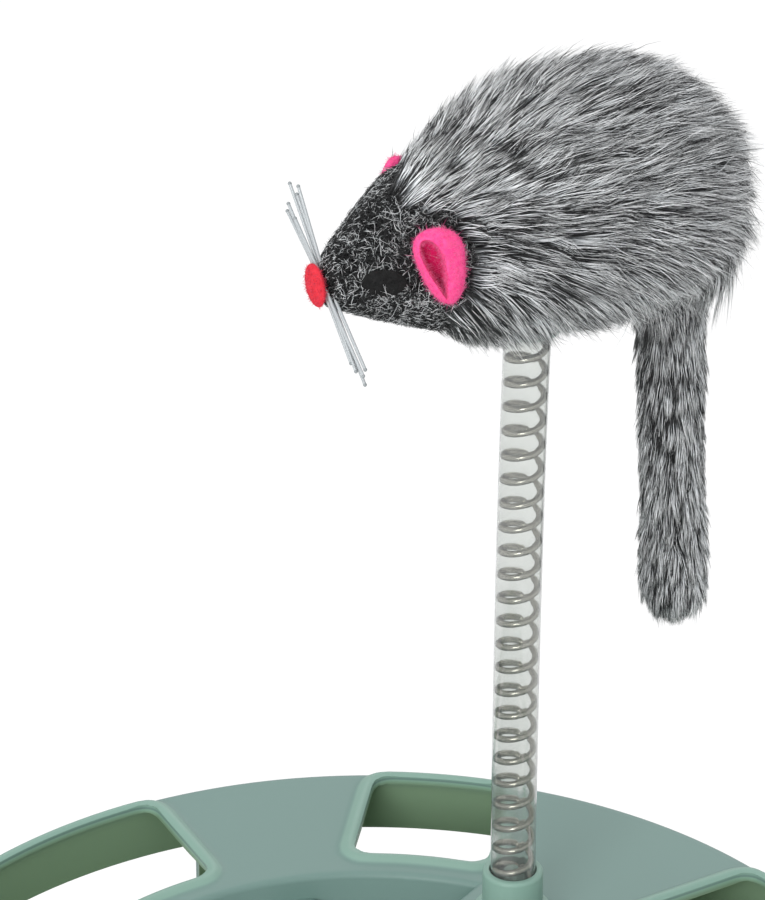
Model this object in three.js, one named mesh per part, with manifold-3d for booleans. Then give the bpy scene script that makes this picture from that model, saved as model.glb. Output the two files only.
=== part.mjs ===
// A cat track toy: a ring-shaped ball track of two mouldings, and a plush mouse on a sprung, clear post.
// Millimetres, +Z up. The origin is the ring's centre on the floor.
// The mouse's post stands behind and right of it.
import * as THREE from "three";
import { mergeVertices } from "three/addons/utils/BufferGeometryUtils.js";
import Module from "manifold-3d";

const wasm = await Module();
wasm.setup();

// Driving dimensions
const GAP = 0.3; // between two pieces that touch
const MERGE = 1e-4; // points nearer to each other than this are one
const HALF = 0.5; // share of a length that its middle lies at

// The ring
const RING_RADIUS = 120; // outside of both mouldings
const WALL = 2.5; // every wall, lip and floor of the two mouldings
const TRAY_BOTTOM = 2;
const TRAY_TOP = 16; // the tray's two lips end here, and the cover stands on them
const SKIRT_BOTTOM = 35.3; // below the skirt a paw reaches in from the side
const DECK_TOP = 50;
const RIM_FILLET = 3; // rounds the cover's outer edge
const INNER_FILLET = 1.5; // rounds the cover's inner edge and the post's housing
const RING_STEPS = 64; // flat sides of a full circle of the ring
const FILLET_STEPS = 3;

// Windows and the bridges between them. Angles run clockwise, seen from above, from the ring's back.
const POST_ANGLE = 33.8; // of the post and of the wide bridge, and the layout's mirror line
const WIDE_BRIDGE_ANGLE = 34;
const BRIDGE_ANGLE = 27.5; // each of four
const SMALL_WINDOW_ANGLE = 16; // each of two, on the outside of the ring
const LARGE_WINDOWS = 3;
const BRIDGES = 4;
const FULL_TURN = 360;
const HALF_TURN = 180;
const QUARTER_TURN = 90;
const WINDOW_INNER_EDGE = 5.5; // width of the deck from the channel's inner wall to a window
const WINDOW_OUTER_EDGE = 3.6; // and from a window to the ring's outside
const WINDOW_CORNER = 5;
const BEAD_WIDTH = 3.4; // the raised lip round each window
const BEAD_HEIGHT = 1.2; // above the deck
const BEAD_ROOT = 0.8; // below the deck's top, so that lip and deck are one moulding
const BEAD_ROUNDING = 0.9;
const BEVEL_STEPS = 1;
const PILLAR_INSET_ANGLE = 6; // a pillar is this much narrower than its bridge, on each side
const ARC_STEP_ANGLE = 5.625;

// The bosses that hold the two mouldings together
const BOSS_RADIUS = 5.2;
const BOSS_INSET = 3.4; // from the ring's inside to a boss's axis
const BOSS_TOP = 44;
const SCREW_SHANK_RADIUS = 1.5;
const SCREW_HOLE_RADIUS = SCREW_SHANK_RADIUS + GAP;
const SCREW_HEAD_RADIUS = 3.2;
const SCREW_HEAD_HEIGHT = 2.2;
const SCREW_HEAD_BOTTOM = 7.4;
const SCREW_TIP = 29;
const SCREW_POINT_LENGTH = 2.5;
const SCREW_TIP_ROOM = 0.9; // above a screw's tip in its hole
const SCREW_STEPS = 12;
const DRIVER_SLOT_WIDTH = 0.9;
const DRIVER_SLOT_DEPTH = 1;
const DRIVER_SLOT_LENGTH = 4.2;
const HOLE_STEPS = 14;

// Rubber pads under the tray
const PAD_RADIUS = 6.5;
const PAD_RECESS = 0.8; // a pad's depth inside the tray's floor
const PAD_STEPS = 18;
const PAD_CHAMFER = 0.5;

// The post's housing on the inside of the ring
const POST_X = 33.5;
const POST_INSET = 23; // from the ring's inside, at its back, forward to the post's axis
const HOUSING_RADIUS = 17;
const HOUSING_STEPS = 14;
const HOUSING_REACH = 15; // from the post's axis to the ring's inner wall
const SLEEVE_RADIUS = 8.8;
const SLEEVE_BOTTOM = 30;
const PLUG_RADIUS = 6;
const COLLAR_RADIUS = 10.5;
const COLLAR_TOP = 53;
const FLANGE_RADIUS = 9;
const FLANGE_HEIGHT = 2.7;
const PLUG_DROP = 0.6; // the plug's end stands this far out of the sleeve, so the washer never clamps it
const SPIGOT_RADIUS = 2.2;
const SPIGOT_LENGTH = 10;
const SMALL_CHAMFER = 0.6;
const WASHER_RADIUS = 8;
const WASHER_HEIGHT = 1.2;
const POST_SCREW_TIP = 45;
const ACCESS_RADIUS = 6.5; // the hole in the tray under the post's screw
const FERRULE_RADIUS = 7;
const FERRULE_TOP = 66;
const ROUND_STEPS = 20;

// The clear tube and the spring inside it
const TUBE_RADIUS = 5.1;
const TUBE_BORE_RADIUS = 4.5;
const TUBE_TOP = 213.4;
const TUBE_STEPS = 20;
const COIL_RADIUS = 3.35; // to the middle of the wire
const WIRE_RADIUS = 0.7;
const COIL_PITCH = 6;
const COIL_STEPS = 8; // around one curl
const WIRE_SIDES = 5;
const LEAN = 1.4; // the post's top stands this far to the right of its foot
const LEAN_POWER = 2.6;
const BELLY = 203.5; // where the post enters the mouse, and its lean ends in a straight line
const PATH_STEP = 20; // length of one straight piece of the tube

// The mouse. Its own axes: forward, to its left, and up; its origin is beside the post's top.
const MOUSE_SIDE = 1.1; // the mouse is sewn on this far to the right of the post
const MOUSE_X = POST_X + LEAN + MOUSE_SIDE;
const MOUSE_HEADING = 217; // anticlockwise from +X, seen from above
const MOUSE_MIDDLE = 228.8; // height of its widest line
const HEAD_END = 57.2; // the snout is blunt: its outlines would only meet further forward
const BACK_END = 70;
const BELLY_END = 70;
const WIDTH_END = 60;
const RUMP_END = 55.3;
const SNOUT_RING = 56.3;
const BACK_RISE = 31.8;
const BELLY_DROP = 26.8;
const HALF_WIDTH = 28.2;
const BACK_PEAK = -16.6; // where along the mouse the back is highest
const BELLY_PEAK = -22;
const WIDTH_PEAK = -17.6;
const BACK_SHARPNESS = 1.48; // exponents of its outlines toward the nose: smaller is fuller
const BELLY_SHARPNESS = 1.2;
const WIDTH_SHARPNESS = 0.85;
const REAR_SHARPNESS = 0.56;
const NECK = 36.5;
const BODY_SIDES = 24;
const BODY_RINGS = 12;
const HEAD_RINGS = 7;
const SOCKET_RADIUS = 7;
const SOCKET_TOP = 222;
const SOCKET_BORE_TOP = 214;
const SOCKET_SPIGOT_BOTTOM = 205;

const NOSE_FORWARD = 58.1;
const NOSE_RISE = 1.2; // above the mouse's widest line
const NOSE_HALF_WIDTH = 3.1;
const NOSE_HALF_HEIGHT = 4.8;
const NOSE_HALF_THICKNESS = 1.3;
const NOSE_TILT = 15; // its top leans to the right
const EYE_FORWARD = 47.8;
const EYE_OUT = 10.8;
const EYE_RISE = 2.5; // above the mouse's widest line
const EYE_HALF_LENGTH = 4.2;
const EYE_HALF_HEIGHT = 2.9;
const EYE_HALF_THICKNESS = 1.1;
const EYE_TURN = 35; // from straight sideways toward the nose
const LEFT_EAR_FORWARD = 39.2;
const LEFT_EAR_OUT = 16.9;
const LEFT_EAR_RISE = 5.9;
const RIGHT_EAR_FORWARD = 28.5; // further back than the left one, and sewn behind the neck's seam
const RIGHT_EAR_OUT = 15.2;
const RIGHT_EAR_RISE = 7.8;
const EAR_HALF_LENGTH = 8;
const EAR_HALF_WIDTH = 5.8;
const EAR_HALF_THICKNESS = 3.2;
const EAR_WALL = 1.3;
const EAR_HOLLOW_OUT = 2.6; // its hollow is set this far outward
const EAR_TURN = 28;
const EAR_TILT = 16; // its top leans forward
const ROUND_SIDES = 16;
const ROUND_RINGS = 8;

const WHISKER_ROWS = 2;
const WHISKERS_PER_ROW = 3;
const WHISKER_RADIUS = 0.3;
const WHISKER_SPACING = 1;
const WHISKER_FORWARD = 55.7;
const WHISKER_DROP = 0.4; // below the nose's middle
const WHISKER_HALF_LENGTH = 20;
const WHISKER_LENGTH_STEP = 0.65;
const WHISKER_LENGTH_COUNT = 5; // so many lengths, dealt out in turn
const WHISKER_LENGTH_STRIDE = 2; // going on by so many lengths each time
const WHISKER_TILT = 33; // each runs from high on the right to low on the left
const WHISKER_SPREAD = 2.4; // times the spacing that is added at the tips
const WHISKER_STEPS = 8;
const WHISKER_SIDES = 6;
const WHISKER_SLOT_MARGIN = 1.3;

const TAIL_BACK = -40;
const TAIL_PIVOT = 209.6;
const TAIL_ROOT_RADIUS = 4;
const TAIL_TIP = 119;
const TAIL_HALF_WIDTH = 7.6;
const TAIL_HALF_DEPTH = 7;
const TAIL_SHOULDER = 12; // below the pivot the tail has its full width
const TAIL_ROUNDING = 10; // length of the rounded tip
const TAIL_WAIST_SHARE = 0.12;
const TAIL_POCKET_RADIUS = 18; // the mouth of the hollow that the tail's root swings in
const TAIL_POCKET_ROOM = 0.9; // round the root
const TAIL_RINGS = 13;
const TAIL_SIDES = 14;

// The ball and its bell
const BALL_RADIUS = 20;
const BALL_CLEARANCE = 1; // on each side of the ball in its channel
const BALL_WALL = 1.6;
const BALL_ANGLE = 213.8;
const BALL_STEPS = 24;
const BALL_RINGS = 5;
const BELL_RADIUS = 6;
const BELL_WALL = 0.7;
const BELL_SLOT = 1.4;
const BELL_STEPS = 12;

// Helpers
const radians = (degrees) => (degrees * Math.PI) / HALF_TURN;
const degrees = (radians) => (radians * HALF_TURN) / Math.PI;
const polar = (radius, angle) =>
  new THREE.Vector2(radius * Math.sin(radians(angle)), radius * Math.cos(radians(angle)));

function solid(geometry) {
  const plain = new THREE.BufferGeometry();
  plain.setAttribute("position", geometry.getAttribute("position").clone());
  if (geometry.index) plain.setIndex(geometry.index.clone());
  const merged = mergeVertices(plain, MERGE);
  return new wasm.Manifold(
    new wasm.Mesh({
      numProp: 3,
      vertProperties: merged.attributes.position.array,
      triVerts: new Uint32Array(merged.index.array),
    }),
  );
}
const join = (parts) => parts.reduce((sum, part) => sum.add(part));
const cut = (body, tools) => tools.reduce((rest, tool) => rest.subtract(tool), body);

function geometryOf(manifold) {
  const made = manifold.getMesh();
  const geometry = new THREE.BufferGeometry();
  const points = new THREE.BufferAttribute(new Float32Array(made.vertProperties), 3);
  geometry.setAttribute("position", points);
  geometry.setIndex(new THREE.BufferAttribute(new Uint32Array(made.triVerts), 1));
  return geometry;
}

const material = (name, color, roughness = 0.5, metalness = 0) => {
  const made = new THREE.MeshStandardMaterial({ color, roughness, metalness });
  made.name = name;
  return made;
};
const SAGE = material("sage_polypropylene", 0x8aa29a);
const RUBBER = material("rubber", 0x4a4a48, 0.9);
const STEEL = material("steel", 0xb4b2ac, 0.35, 1);
const CLEAR = material("clear_pvc", 0xdfe0de, 0.1);
const PLUSH = material("grey_plush", 0x7e807f, 1);
const HEAD_PLUSH = material("dark_plush", 0x4c4b4b, 1);
const PINK = material("pink_felt", 0xf04c8a, 1);
const RED = material("red_felt", 0xe93d4b, 1);
const BLACK = material("black_felt", 0x272726, 1);
const NYLON = material("clear_nylon", 0xe6e6e2, 0.2);
const IVORY = material("ivory_plastic", 0xefe9dc, 0.4);
const BRASS = material("brass", 0xc9a24e, 0.3, 1);

const group = new THREE.Group();
function add(name, shape, look) {
  const geometry = shape.getMesh ? geometryOf(shape) : shape;
  const mesh = new THREE.Mesh(geometry, look);
  mesh.name = name;
  group.add(mesh);
  return mesh;
}

// A solid of revolution about the vertical line through (x, y), from a closed [radius, height] outline.
function turned(outline, steps, x = 0, y = 0) {
  const ring = outline.map(([radius, height]) => new THREE.Vector2(radius, height));
  const area = ring.reduce((sum, p, i) => {
    const next = ring[(i + 1) % ring.length];
    return sum + p.x * next.y - next.x * p.y;
  }, 0);
  if (area < 0) ring.reverse();
  const geometry = new THREE.LatheGeometry([...ring, ring[0].clone()], steps);
  geometry.rotateX(Math.PI * HALF).translate(x, y, 0);
  const made = solid(geometry);
  if (made.volume() < 0) throw new Error("an outline runs the wrong way");
  return made;
}
const pin = (radius, from, to, steps, x = 0, y = 0) =>
  turned([[0, from], [radius, from], [radius, to], [0, to]], steps, x, y);

// A quarter round from one [radius, height] point to another, about the corner between them.
const quarter = (centre, radius, from, to) =>
  Array.from({ length: FILLET_STEPS + 1 }, (_, i) => {
    const angle = radians(from + ((to - from) * i) / FILLET_STEPS);
    return [centre[0] + radius * Math.cos(angle), centre[1] + radius * Math.sin(angle)];
  });

// An upright prism over a flat shape, with rounded or plain ends.
function prism(shape, from, to, rounding = 0) {
  const geometry = new THREE.ExtrudeGeometry(shape, {
    depth: to - from - rounding * 2,
    bevelEnabled: rounding > 0,
    bevelThickness: rounding,
    bevelSize: rounding,
    bevelOffset: -rounding,
    bevelSegments: BEVEL_STEPS,
    curveSegments: 1,
  });
  geometry.translate(0, 0, from + rounding);
  return solid(geometry);
}

// An ellipsoid with its own half sizes, made by squashing a sphere.
function ellipsoid(halfX, halfY, halfZ) {
  const geometry = new THREE.SphereGeometry(1, ROUND_SIDES, ROUND_RINGS);
  return geometry.rotateX(Math.PI * HALF).scale(halfX, halfY, halfZ);
}

// One closed tube along points, with flat ends.
function swept(points, radius, sides) {
  const rings = [];
  let across = new THREE.Vector3(1, 0, 0);
  points.forEach((point, i) => {
    const before = points[Math.max(0, i - 1)];
    const after = points[Math.min(points.length - 1, i + 1)];
    const along = after.clone().sub(before).normalize();
    across = across.clone().sub(along.clone().multiplyScalar(across.dot(along))).normalize();
    const other = along.clone().cross(across);
    rings.push(
      Array.from({ length: sides }, (_, k) => {
        const turn = (2 * Math.PI * k) / sides;
        return point
          .clone()
          .addScaledVector(across, radius * Math.cos(turn))
          .addScaledVector(other, radius * Math.sin(turn));
      }),
    );
  });
  return stacked(rings, points[0], points[points.length - 1]);
}

// Rings of points joined side by side, closed by a fan to a point at each end.
function stacked(rings, first, last) {
  const places = [first, ...rings.flat(), last];
  const sides = rings[0].length;
  const at = (ring, k) => 1 + ring * sides + (k % sides);
  const faces = [];
  for (let k = 0; k < sides; k++) {
    faces.push(0, at(0, k + 1), at(0, k));
    for (let i = 0; i + 1 < rings.length; i++)
      faces.push(at(i, k), at(i, k + 1), at(i + 1, k + 1), at(i, k), at(i + 1, k + 1), at(i + 1, k));
    faces.push(places.length - 1, at(rings.length - 1, k), at(rings.length - 1, k + 1));
  }
  let volume = 0;
  for (let i = 0; i < faces.length; i += 3) {
    const [a, b, c] = [0, 1, 2].map((corner) => places[faces[i + corner]]);
    volume += a.dot(b.clone().cross(c));
  }
  if (volume < 0) faces.reverse(); // so that every face looks out
  const geometry = new THREE.BufferGeometry().setFromPoints(places);
  geometry.setIndex(faces);
  return geometry;
}

// The layout of windows and bridges round the ring
const largeWindowAngle =
  (FULL_TURN - WIDE_BRIDGE_ANGLE - 2 * SMALL_WINDOW_ANGLE - BRIDGES * BRIDGE_ANGLE) / LARGE_WINDOWS;
const channelOuter = RING_RADIUS - WALL;
const channelInner = channelOuter - 2 * (BALL_RADIUS + BALL_CLEARANCE);
const innerRadius = channelInner - WALL;
const postY = innerRadius - POST_INSET;
const noseHeight = MOUSE_MIDDLE + NOSE_RISE;
const windowInnerRadius = channelInner + WINDOW_INNER_EDGE;
const windowOuterRadius = RING_RADIUS - WINDOW_OUTER_EDGE;
const windows = [];
const bridges = [];
let turnedSoFar = POST_ANGLE - WIDE_BRIDGE_ANGLE * HALF;
for (const [kind, angle] of [
  ["post", WIDE_BRIDGE_ANGLE],
  ["small", SMALL_WINDOW_ANGLE],
  ["bridge", BRIDGE_ANGLE],
  ["large", largeWindowAngle],
  ["bridge", BRIDGE_ANGLE],
  ["large", largeWindowAngle],
  ["bridge", BRIDGE_ANGLE],
  ["large", largeWindowAngle],
  ["bridge", BRIDGE_ANGLE],
  ["small", SMALL_WINDOW_ANGLE],
]) {
  const place = { kind, from: turnedSoFar, to: turnedSoFar + angle, middle: turnedSoFar + angle * HALF };
  (kind === "small" || kind === "large" ? windows : bridges).push(place);
  turnedSoFar += angle;
}

// The flat outline of a window, grown outward by a margin. A small window's two sides are parallel.
function windowOutline({ kind, from, to, middle }, margin) {
  const inner = windowInnerRadius - margin;
  const outer = windowOuterRadius + margin;
  const halfWidth = windowOuterRadius * Math.sin(radians((to - from) * HALF));
  const sideAngle = (radius) =>
    kind === "small"
      ? degrees(Math.asin((halfWidth + margin) / radius))
      : (to - from) * HALF + degrees(Math.asin(margin / radius));
  const corner = WINDOW_CORNER + margin;
  const arc = (radius, start, end) => {
    const steps = Math.max(2, Math.ceil(Math.abs(end - start) / ARC_STEP_ANGLE));
    return Array.from({ length: steps + 1 }, (_, i) => polar(radius, start + ((end - start) * i) / steps));
  };
  const bend = (before, tip, after) =>
    Array.from({ length: FILLET_STEPS - 1 }, (_, i) => {
      const t = (i + 1) / FILLET_STEPS;
      return before
        .clone()
        .multiplyScalar((1 - t) ** 2)
        .addScaledVector(tip, 2 * t * (1 - t))
        .addScaledVector(after, t ** 2);
    });
  const cornerAngle = (radius) => degrees(corner / radius);
  const points = [];
  for (const side of [-1, 1]) {
    // One side's two corners; the far ends of the arcs are the other side's.
    const start = side < 0 ? inner : outer;
    const end = side < 0 ? outer : inner;
    const startTip = polar(start, middle + side * sideAngle(start));
    const endTip = polar(end, middle + side * sideAngle(end));
    const along = endTip.clone().sub(startTip).normalize();
    const onStart = polar(start, middle + side * (sideAngle(start) - cornerAngle(start)));
    const onEnd = polar(end, middle + side * (sideAngle(end) - cornerAngle(end)));
    const rise = startTip.clone().addScaledVector(along, corner);
    const fall = endTip.clone().addScaledVector(along, -corner);
    points.push(onStart, ...bend(onStart, startTip, rise), rise, fall, ...bend(fall, endTip, onEnd));
    const reach = sideAngle(end) - cornerAngle(end);
    points.push(...arc(end, middle + side * reach, middle - side * reach).slice(0, -1));
  }
  return points;
}
const windowShape = (place, margin) => new THREE.Shape(windowOutline(place, margin).reverse());

function beadShape(place) {
  const shape = windowShape(place, BEAD_WIDTH);
  shape.holes.push(new THREE.Path(windowOutline(place, 0)));
  return shape;
}

function sectorShape(inner, outer, from, to) {
  const steps = Math.ceil((to - from) / ARC_STEP_ANGLE);
  const run = Array.from({ length: steps + 1 }, (_, i) => from + ((to - from) * i) / steps);
  return new THREE.Shape([
    ...run.map((angle) => polar(inner, angle)),
    ...run.reverse().map((angle) => polar(outer, angle)),
  ].reverse());
}

// The post's housing: a round end about the post with straight sides to the ring.
function housingShape(radius) {
  const out = polar(1, POST_ANGLE);
  const right = new THREE.Vector2(out.y, -out.x);
  const centre = new THREE.Vector2(POST_X, postY);
  const points = [];
  for (let i = 0; i <= HOUSING_STEPS; i++) {
    const turn = Math.PI * (i / HOUSING_STEPS);
    points.push(
      centre
        .clone()
        .addScaledVector(right, radius * Math.cos(turn))
        .addScaledVector(out, -radius * Math.sin(turn)),
    );
  }
  for (const side of [-1, 1])
    points.push(centre.clone().addScaledVector(right, side * radius).addScaledVector(out, HOUSING_REACH));
  const shape = new THREE.Shape(points);
  return THREE.ShapeUtils.isClockWise(points) ? new THREE.Shape(points.reverse()) : shape;
}

const bossPlaces = bridges
  .filter(({ kind }) => kind === "bridge")
  .map(({ middle }) => polar(innerRadius - BOSS_INSET, middle));
const trackMiddle = (channelInner + channelOuter) * HALF;
const padPlaces = bridges.map(({ middle }) => polar(trackMiddle, middle));

// The tray: the channel's floor, with a low lip on each side
const trayFloor = TRAY_BOTTOM + WALL;
const trayRing = turned(
  [
    [innerRadius, TRAY_BOTTOM],
    [RING_RADIUS - INNER_FILLET, TRAY_BOTTOM],
    [RING_RADIUS, TRAY_BOTTOM + INNER_FILLET],
    [RING_RADIUS, TRAY_TOP],
    [channelOuter, TRAY_TOP],
    [channelOuter, trayFloor + INNER_FILLET],
    [channelOuter - INNER_FILLET, trayFloor],
    [channelInner + INNER_FILLET, trayFloor],
    [channelInner, trayFloor + INNER_FILLET],
    [channelInner, TRAY_TOP],
    [innerRadius, TRAY_TOP],
  ],
  RING_STEPS,
);
const channelCore = turned(
  [
    [channelInner, TRAY_BOTTOM - WALL],
    [channelOuter, TRAY_BOTTOM - WALL],
    [channelOuter, DECK_TOP + WALL],
    [channelInner, DECK_TOP + WALL],
  ],
  RING_STEPS,
);
const bossesBetween = (low, high) =>
  bossPlaces.map(({ x, y }) => cut(pin(BOSS_RADIUS, low, high, HOLE_STEPS, x, y), [channelCore]));
const trayHousing = cut(prism(housingShape(HOUSING_RADIUS), TRAY_BOTTOM, TRAY_TOP), [
  prism(housingShape(HOUSING_RADIUS - WALL), trayFloor, TRAY_TOP + WALL),
  channelCore,
]);
const screwHeadTop = SCREW_HEAD_BOTTOM + SCREW_HEAD_HEIGHT;
const tray = cut(
  join([
    trayRing,
    trayHousing,
    ...bossesBetween(TRAY_BOTTOM, TRAY_TOP),
  ]),
  [
    ...bossPlaces.map(({ x, y }) =>
      pin(SCREW_HOLE_RADIUS, TRAY_BOTTOM - WALL, TRAY_TOP + WALL, HOLE_STEPS, x, y),
    ),
    ...bossPlaces.map(({ x, y }) =>
      pin(SCREW_HEAD_RADIUS + GAP, TRAY_BOTTOM - WALL, screwHeadTop + GAP, HOLE_STEPS, x, y),
    ),
    ...padPlaces.map(({ x, y }) =>
      pin(PAD_RADIUS + GAP, TRAY_BOTTOM - WALL, TRAY_BOTTOM + PAD_RECESS, PAD_STEPS, x, y),
    ),
    pin(ACCESS_RADIUS, TRAY_BOTTOM - WALL, trayFloor + WALL, HOLE_STEPS, POST_X, postY),
  ],
);
add("track_tray", tray, SAGE);

padPlaces.forEach(({ x, y }, i) => {
  const top = TRAY_BOTTOM + PAD_RECESS - GAP;
  const pad = turned(
    [[0, 0], [PAD_RADIUS - PAD_CHAMFER, 0], [PAD_RADIUS, PAD_CHAMFER], [PAD_RADIUS, top], [0, top]],
    PAD_STEPS,
    x,
    y,
  );
  add(`foot_pad_${i + 1}`, pad, RUBBER);
});

// The cover: the deck with its windows, the skirt, the pillars and the inner wall
const coverBottom = TRAY_TOP + GAP;
const deckUnder = DECK_TOP - WALL;
const rimCentre = [RING_RADIUS - RIM_FILLET, DECK_TOP - RIM_FILLET];
const edgeCentre = [innerRadius + INNER_FILLET, DECK_TOP - INNER_FILLET];
const coverRing = turned(
  [
    [innerRadius, coverBottom],
    [channelInner, coverBottom],
    [channelInner, deckUnder],
    [channelOuter, deckUnder],
    [channelOuter, coverBottom],
    [RING_RADIUS, coverBottom],
    ...quarter(rimCentre, RIM_FILLET, 0, QUARTER_TURN),
    ...quarter(edgeCentre, INNER_FILLET, QUARTER_TURN, HALF_TURN),
  ],
  RING_STEPS,
);
const coverHousing = cut(prism(housingShape(HOUSING_RADIUS), coverBottom, DECK_TOP, INNER_FILLET), [
  prism(housingShape(HOUSING_RADIUS - WALL), coverBottom - WALL, deckUnder),
  channelCore,
]);
const sideOpenings = windows.map(({ from, to }) =>
  prism(
    sectorShape(
      channelOuter - WALL,
      RING_RADIUS + WALL,
      from - PILLAR_INSET_ANGLE,
      to + PILLAR_INSET_ANGLE,
    ),
    coverBottom - WALL,
    SKIRT_BOTTOM,
  ),
);
const beadBottom = DECK_TOP - BEAD_ROOT - BEAD_ROUNDING;
const cover = cut(
  join([
    cut(coverRing, windows.map((place) => prism(windowShape(place, 0), deckUnder - WALL, DECK_TOP + WALL))),
    ...windows.map((place) => prism(beadShape(place), beadBottom, DECK_TOP + BEAD_HEIGHT, BEAD_ROUNDING)),
    coverHousing,
    ...bossesBetween(coverBottom, BOSS_TOP),
    pin(SLEEVE_RADIUS, SLEEVE_BOTTOM, deckUnder + GAP, ROUND_STEPS, POST_X, postY),
    pin(COLLAR_RADIUS, deckUnder + GAP, COLLAR_TOP, ROUND_STEPS, POST_X, postY),
  ]),
  [
    ...sideOpenings,
    ...bossPlaces.map(({ x, y }) =>
      pin(SCREW_HOLE_RADIUS, coverBottom - WALL, SCREW_TIP + SCREW_TIP_ROOM, HOLE_STEPS, x, y),
    ),
    pin(PLUG_RADIUS + GAP, SLEEVE_BOTTOM - WALL, COLLAR_TOP + WALL, ROUND_STEPS, POST_X, postY),
  ],
);
add("track_cover", cover, SAGE);

// Screws, each pushed up from below
function screw(headBottom, tip, x, y) {
  const headTop = headBottom + SCREW_HEAD_HEIGHT;
  const body = turned(
    [
      [0, headBottom],
      [SCREW_HEAD_RADIUS * HALF, headBottom],
      [SCREW_HEAD_RADIUS, headBottom + SCREW_HEAD_HEIGHT * HALF],
      [SCREW_HEAD_RADIUS, headTop],
      [SCREW_SHANK_RADIUS, headTop],
      [SCREW_SHANK_RADIUS, tip - SCREW_POINT_LENGTH],
      [SCREW_SHANK_RADIUS * HALF, tip],
      [0, tip],
    ],
    SCREW_STEPS,
    x,
    y,
  );
  const slots = [0, 1].map((i) => {
    const size = [DRIVER_SLOT_LENGTH, DRIVER_SLOT_WIDTH];
    const box = new THREE.BoxGeometry(size[i], size[1 - i], DRIVER_SLOT_DEPTH * 2);
    return solid(box.translate(x, y, headBottom));
  });
  return cut(body, slots);
}
bossPlaces.forEach(({ x, y }, i) =>
  add(`cover_screw_${i + 1}`, screw(SCREW_HEAD_BOTTOM, SCREW_TIP, x, y), STEEL),
);

// The post's foot: a plug that turns in the cover's sleeve
const plugBottom = SLEEVE_BOTTOM - PLUG_DROP;
const flangeBottom = COLLAR_TOP + GAP;
const flangeTop = flangeBottom + FLANGE_HEIGHT;
const plug = cut(
  turned(
    [
      [0, plugBottom],
      [PLUG_RADIUS, plugBottom],
      [PLUG_RADIUS, flangeBottom],
      [FLANGE_RADIUS, flangeBottom],
      [FLANGE_RADIUS, flangeTop - SMALL_CHAMFER],
      [FLANGE_RADIUS - SMALL_CHAMFER, flangeTop],
      [SPIGOT_RADIUS, flangeTop],
      [SPIGOT_RADIUS, flangeTop + SPIGOT_LENGTH - SMALL_CHAMFER],
      [SPIGOT_RADIUS - SMALL_CHAMFER, flangeTop + SPIGOT_LENGTH],
      [0, flangeTop + SPIGOT_LENGTH],
    ],
    ROUND_STEPS,
    POST_X,
    postY,
  ),
  [pin(SCREW_HOLE_RADIUS, plugBottom - WALL, POST_SCREW_TIP + SCREW_TIP_ROOM, HOLE_STEPS, POST_X, postY)],
);
add("post_plug", plug, SAGE);
const washerTop = plugBottom - GAP;
const washer = turned(
  [
    [SCREW_HOLE_RADIUS, washerTop - WASHER_HEIGHT],
    [WASHER_RADIUS, washerTop - WASHER_HEIGHT],
    [WASHER_RADIUS, washerTop],
    [SCREW_HOLE_RADIUS, washerTop],
  ],
  ROUND_STEPS,
  POST_X,
  postY,
);
add("post_washer", washer, STEEL);
const postScrewHead = washerTop - WASHER_HEIGHT - GAP - SCREW_HEAD_HEIGHT;
add("post_screw", screw(postScrewHead, POST_SCREW_TIP, POST_X, postY), STEEL);
const ferruleBottom = flangeTop + GAP;
const ferrule = turned(
  [
    [TUBE_RADIUS + GAP, ferruleBottom],
    [FERRULE_RADIUS, ferruleBottom],
    [FERRULE_RADIUS, FERRULE_TOP - SMALL_CHAMFER],
    [FERRULE_RADIUS - SMALL_CHAMFER, FERRULE_TOP],
    [TUBE_RADIUS + GAP, FERRULE_TOP],
  ],
  ROUND_STEPS,
  POST_X,
  postY,
);
add("post_ferrule", ferrule, SAGE);

// The clear tube and its spring, along the post's slightly leaning line
function postAt(height) {
  const share = Math.max(0, (height - FERRULE_TOP) / (BELLY - FERRULE_TOP));
  const lean = share <= 1 ? LEAN * share ** LEAN_POWER : LEAN * (1 + LEAN_POWER * (share - 1));
  return new THREE.Vector3(POST_X + lean, postY, height);
}
const postLine = (from, to) => {
  const steps = Math.max(1, Math.round((to - from) / PATH_STEP));
  return Array.from({ length: steps + 1 }, (_, i) => postAt(from + ((to - from) * i) / steps));
};
const rod = (radius, from, to, sides) => solid(swept(postLine(from, to), radius, sides));
const tubeBottom = ferruleBottom;
add(
  "post_tube",
  rod(TUBE_RADIUS, tubeBottom, TUBE_TOP, TUBE_STEPS).subtract(
    rod(TUBE_BORE_RADIUS, tubeBottom - WALL, TUBE_TOP + WALL, TUBE_STEPS),
  ),
  CLEAR,
);

const springBottom = flangeTop + GAP + WIRE_RADIUS;
const springTop = SOCKET_BORE_TOP - GAP - WIRE_RADIUS;
const wireDiameter = WIRE_RADIUS * 2;
const coilFrom = springBottom + wireDiameter;
const coilTo = springTop - wireDiameter;
const curls = Math.floor((coilTo - coilFrom) / COIL_PITCH);
const curlPitch = (coilTo - coilFrom) / curls;
const springLine = [];
for (let i = 0; i <= curls * COIL_STEPS; i++) {
  const turn = (2 * Math.PI * i) / COIL_STEPS;
  const centre = postAt(coilFrom + (curlPitch * i) / COIL_STEPS);
  springLine.push(
    centre.add(new THREE.Vector3(COIL_RADIUS * Math.cos(turn), COIL_RADIUS * Math.sin(turn), 0)),
  );
}
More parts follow.
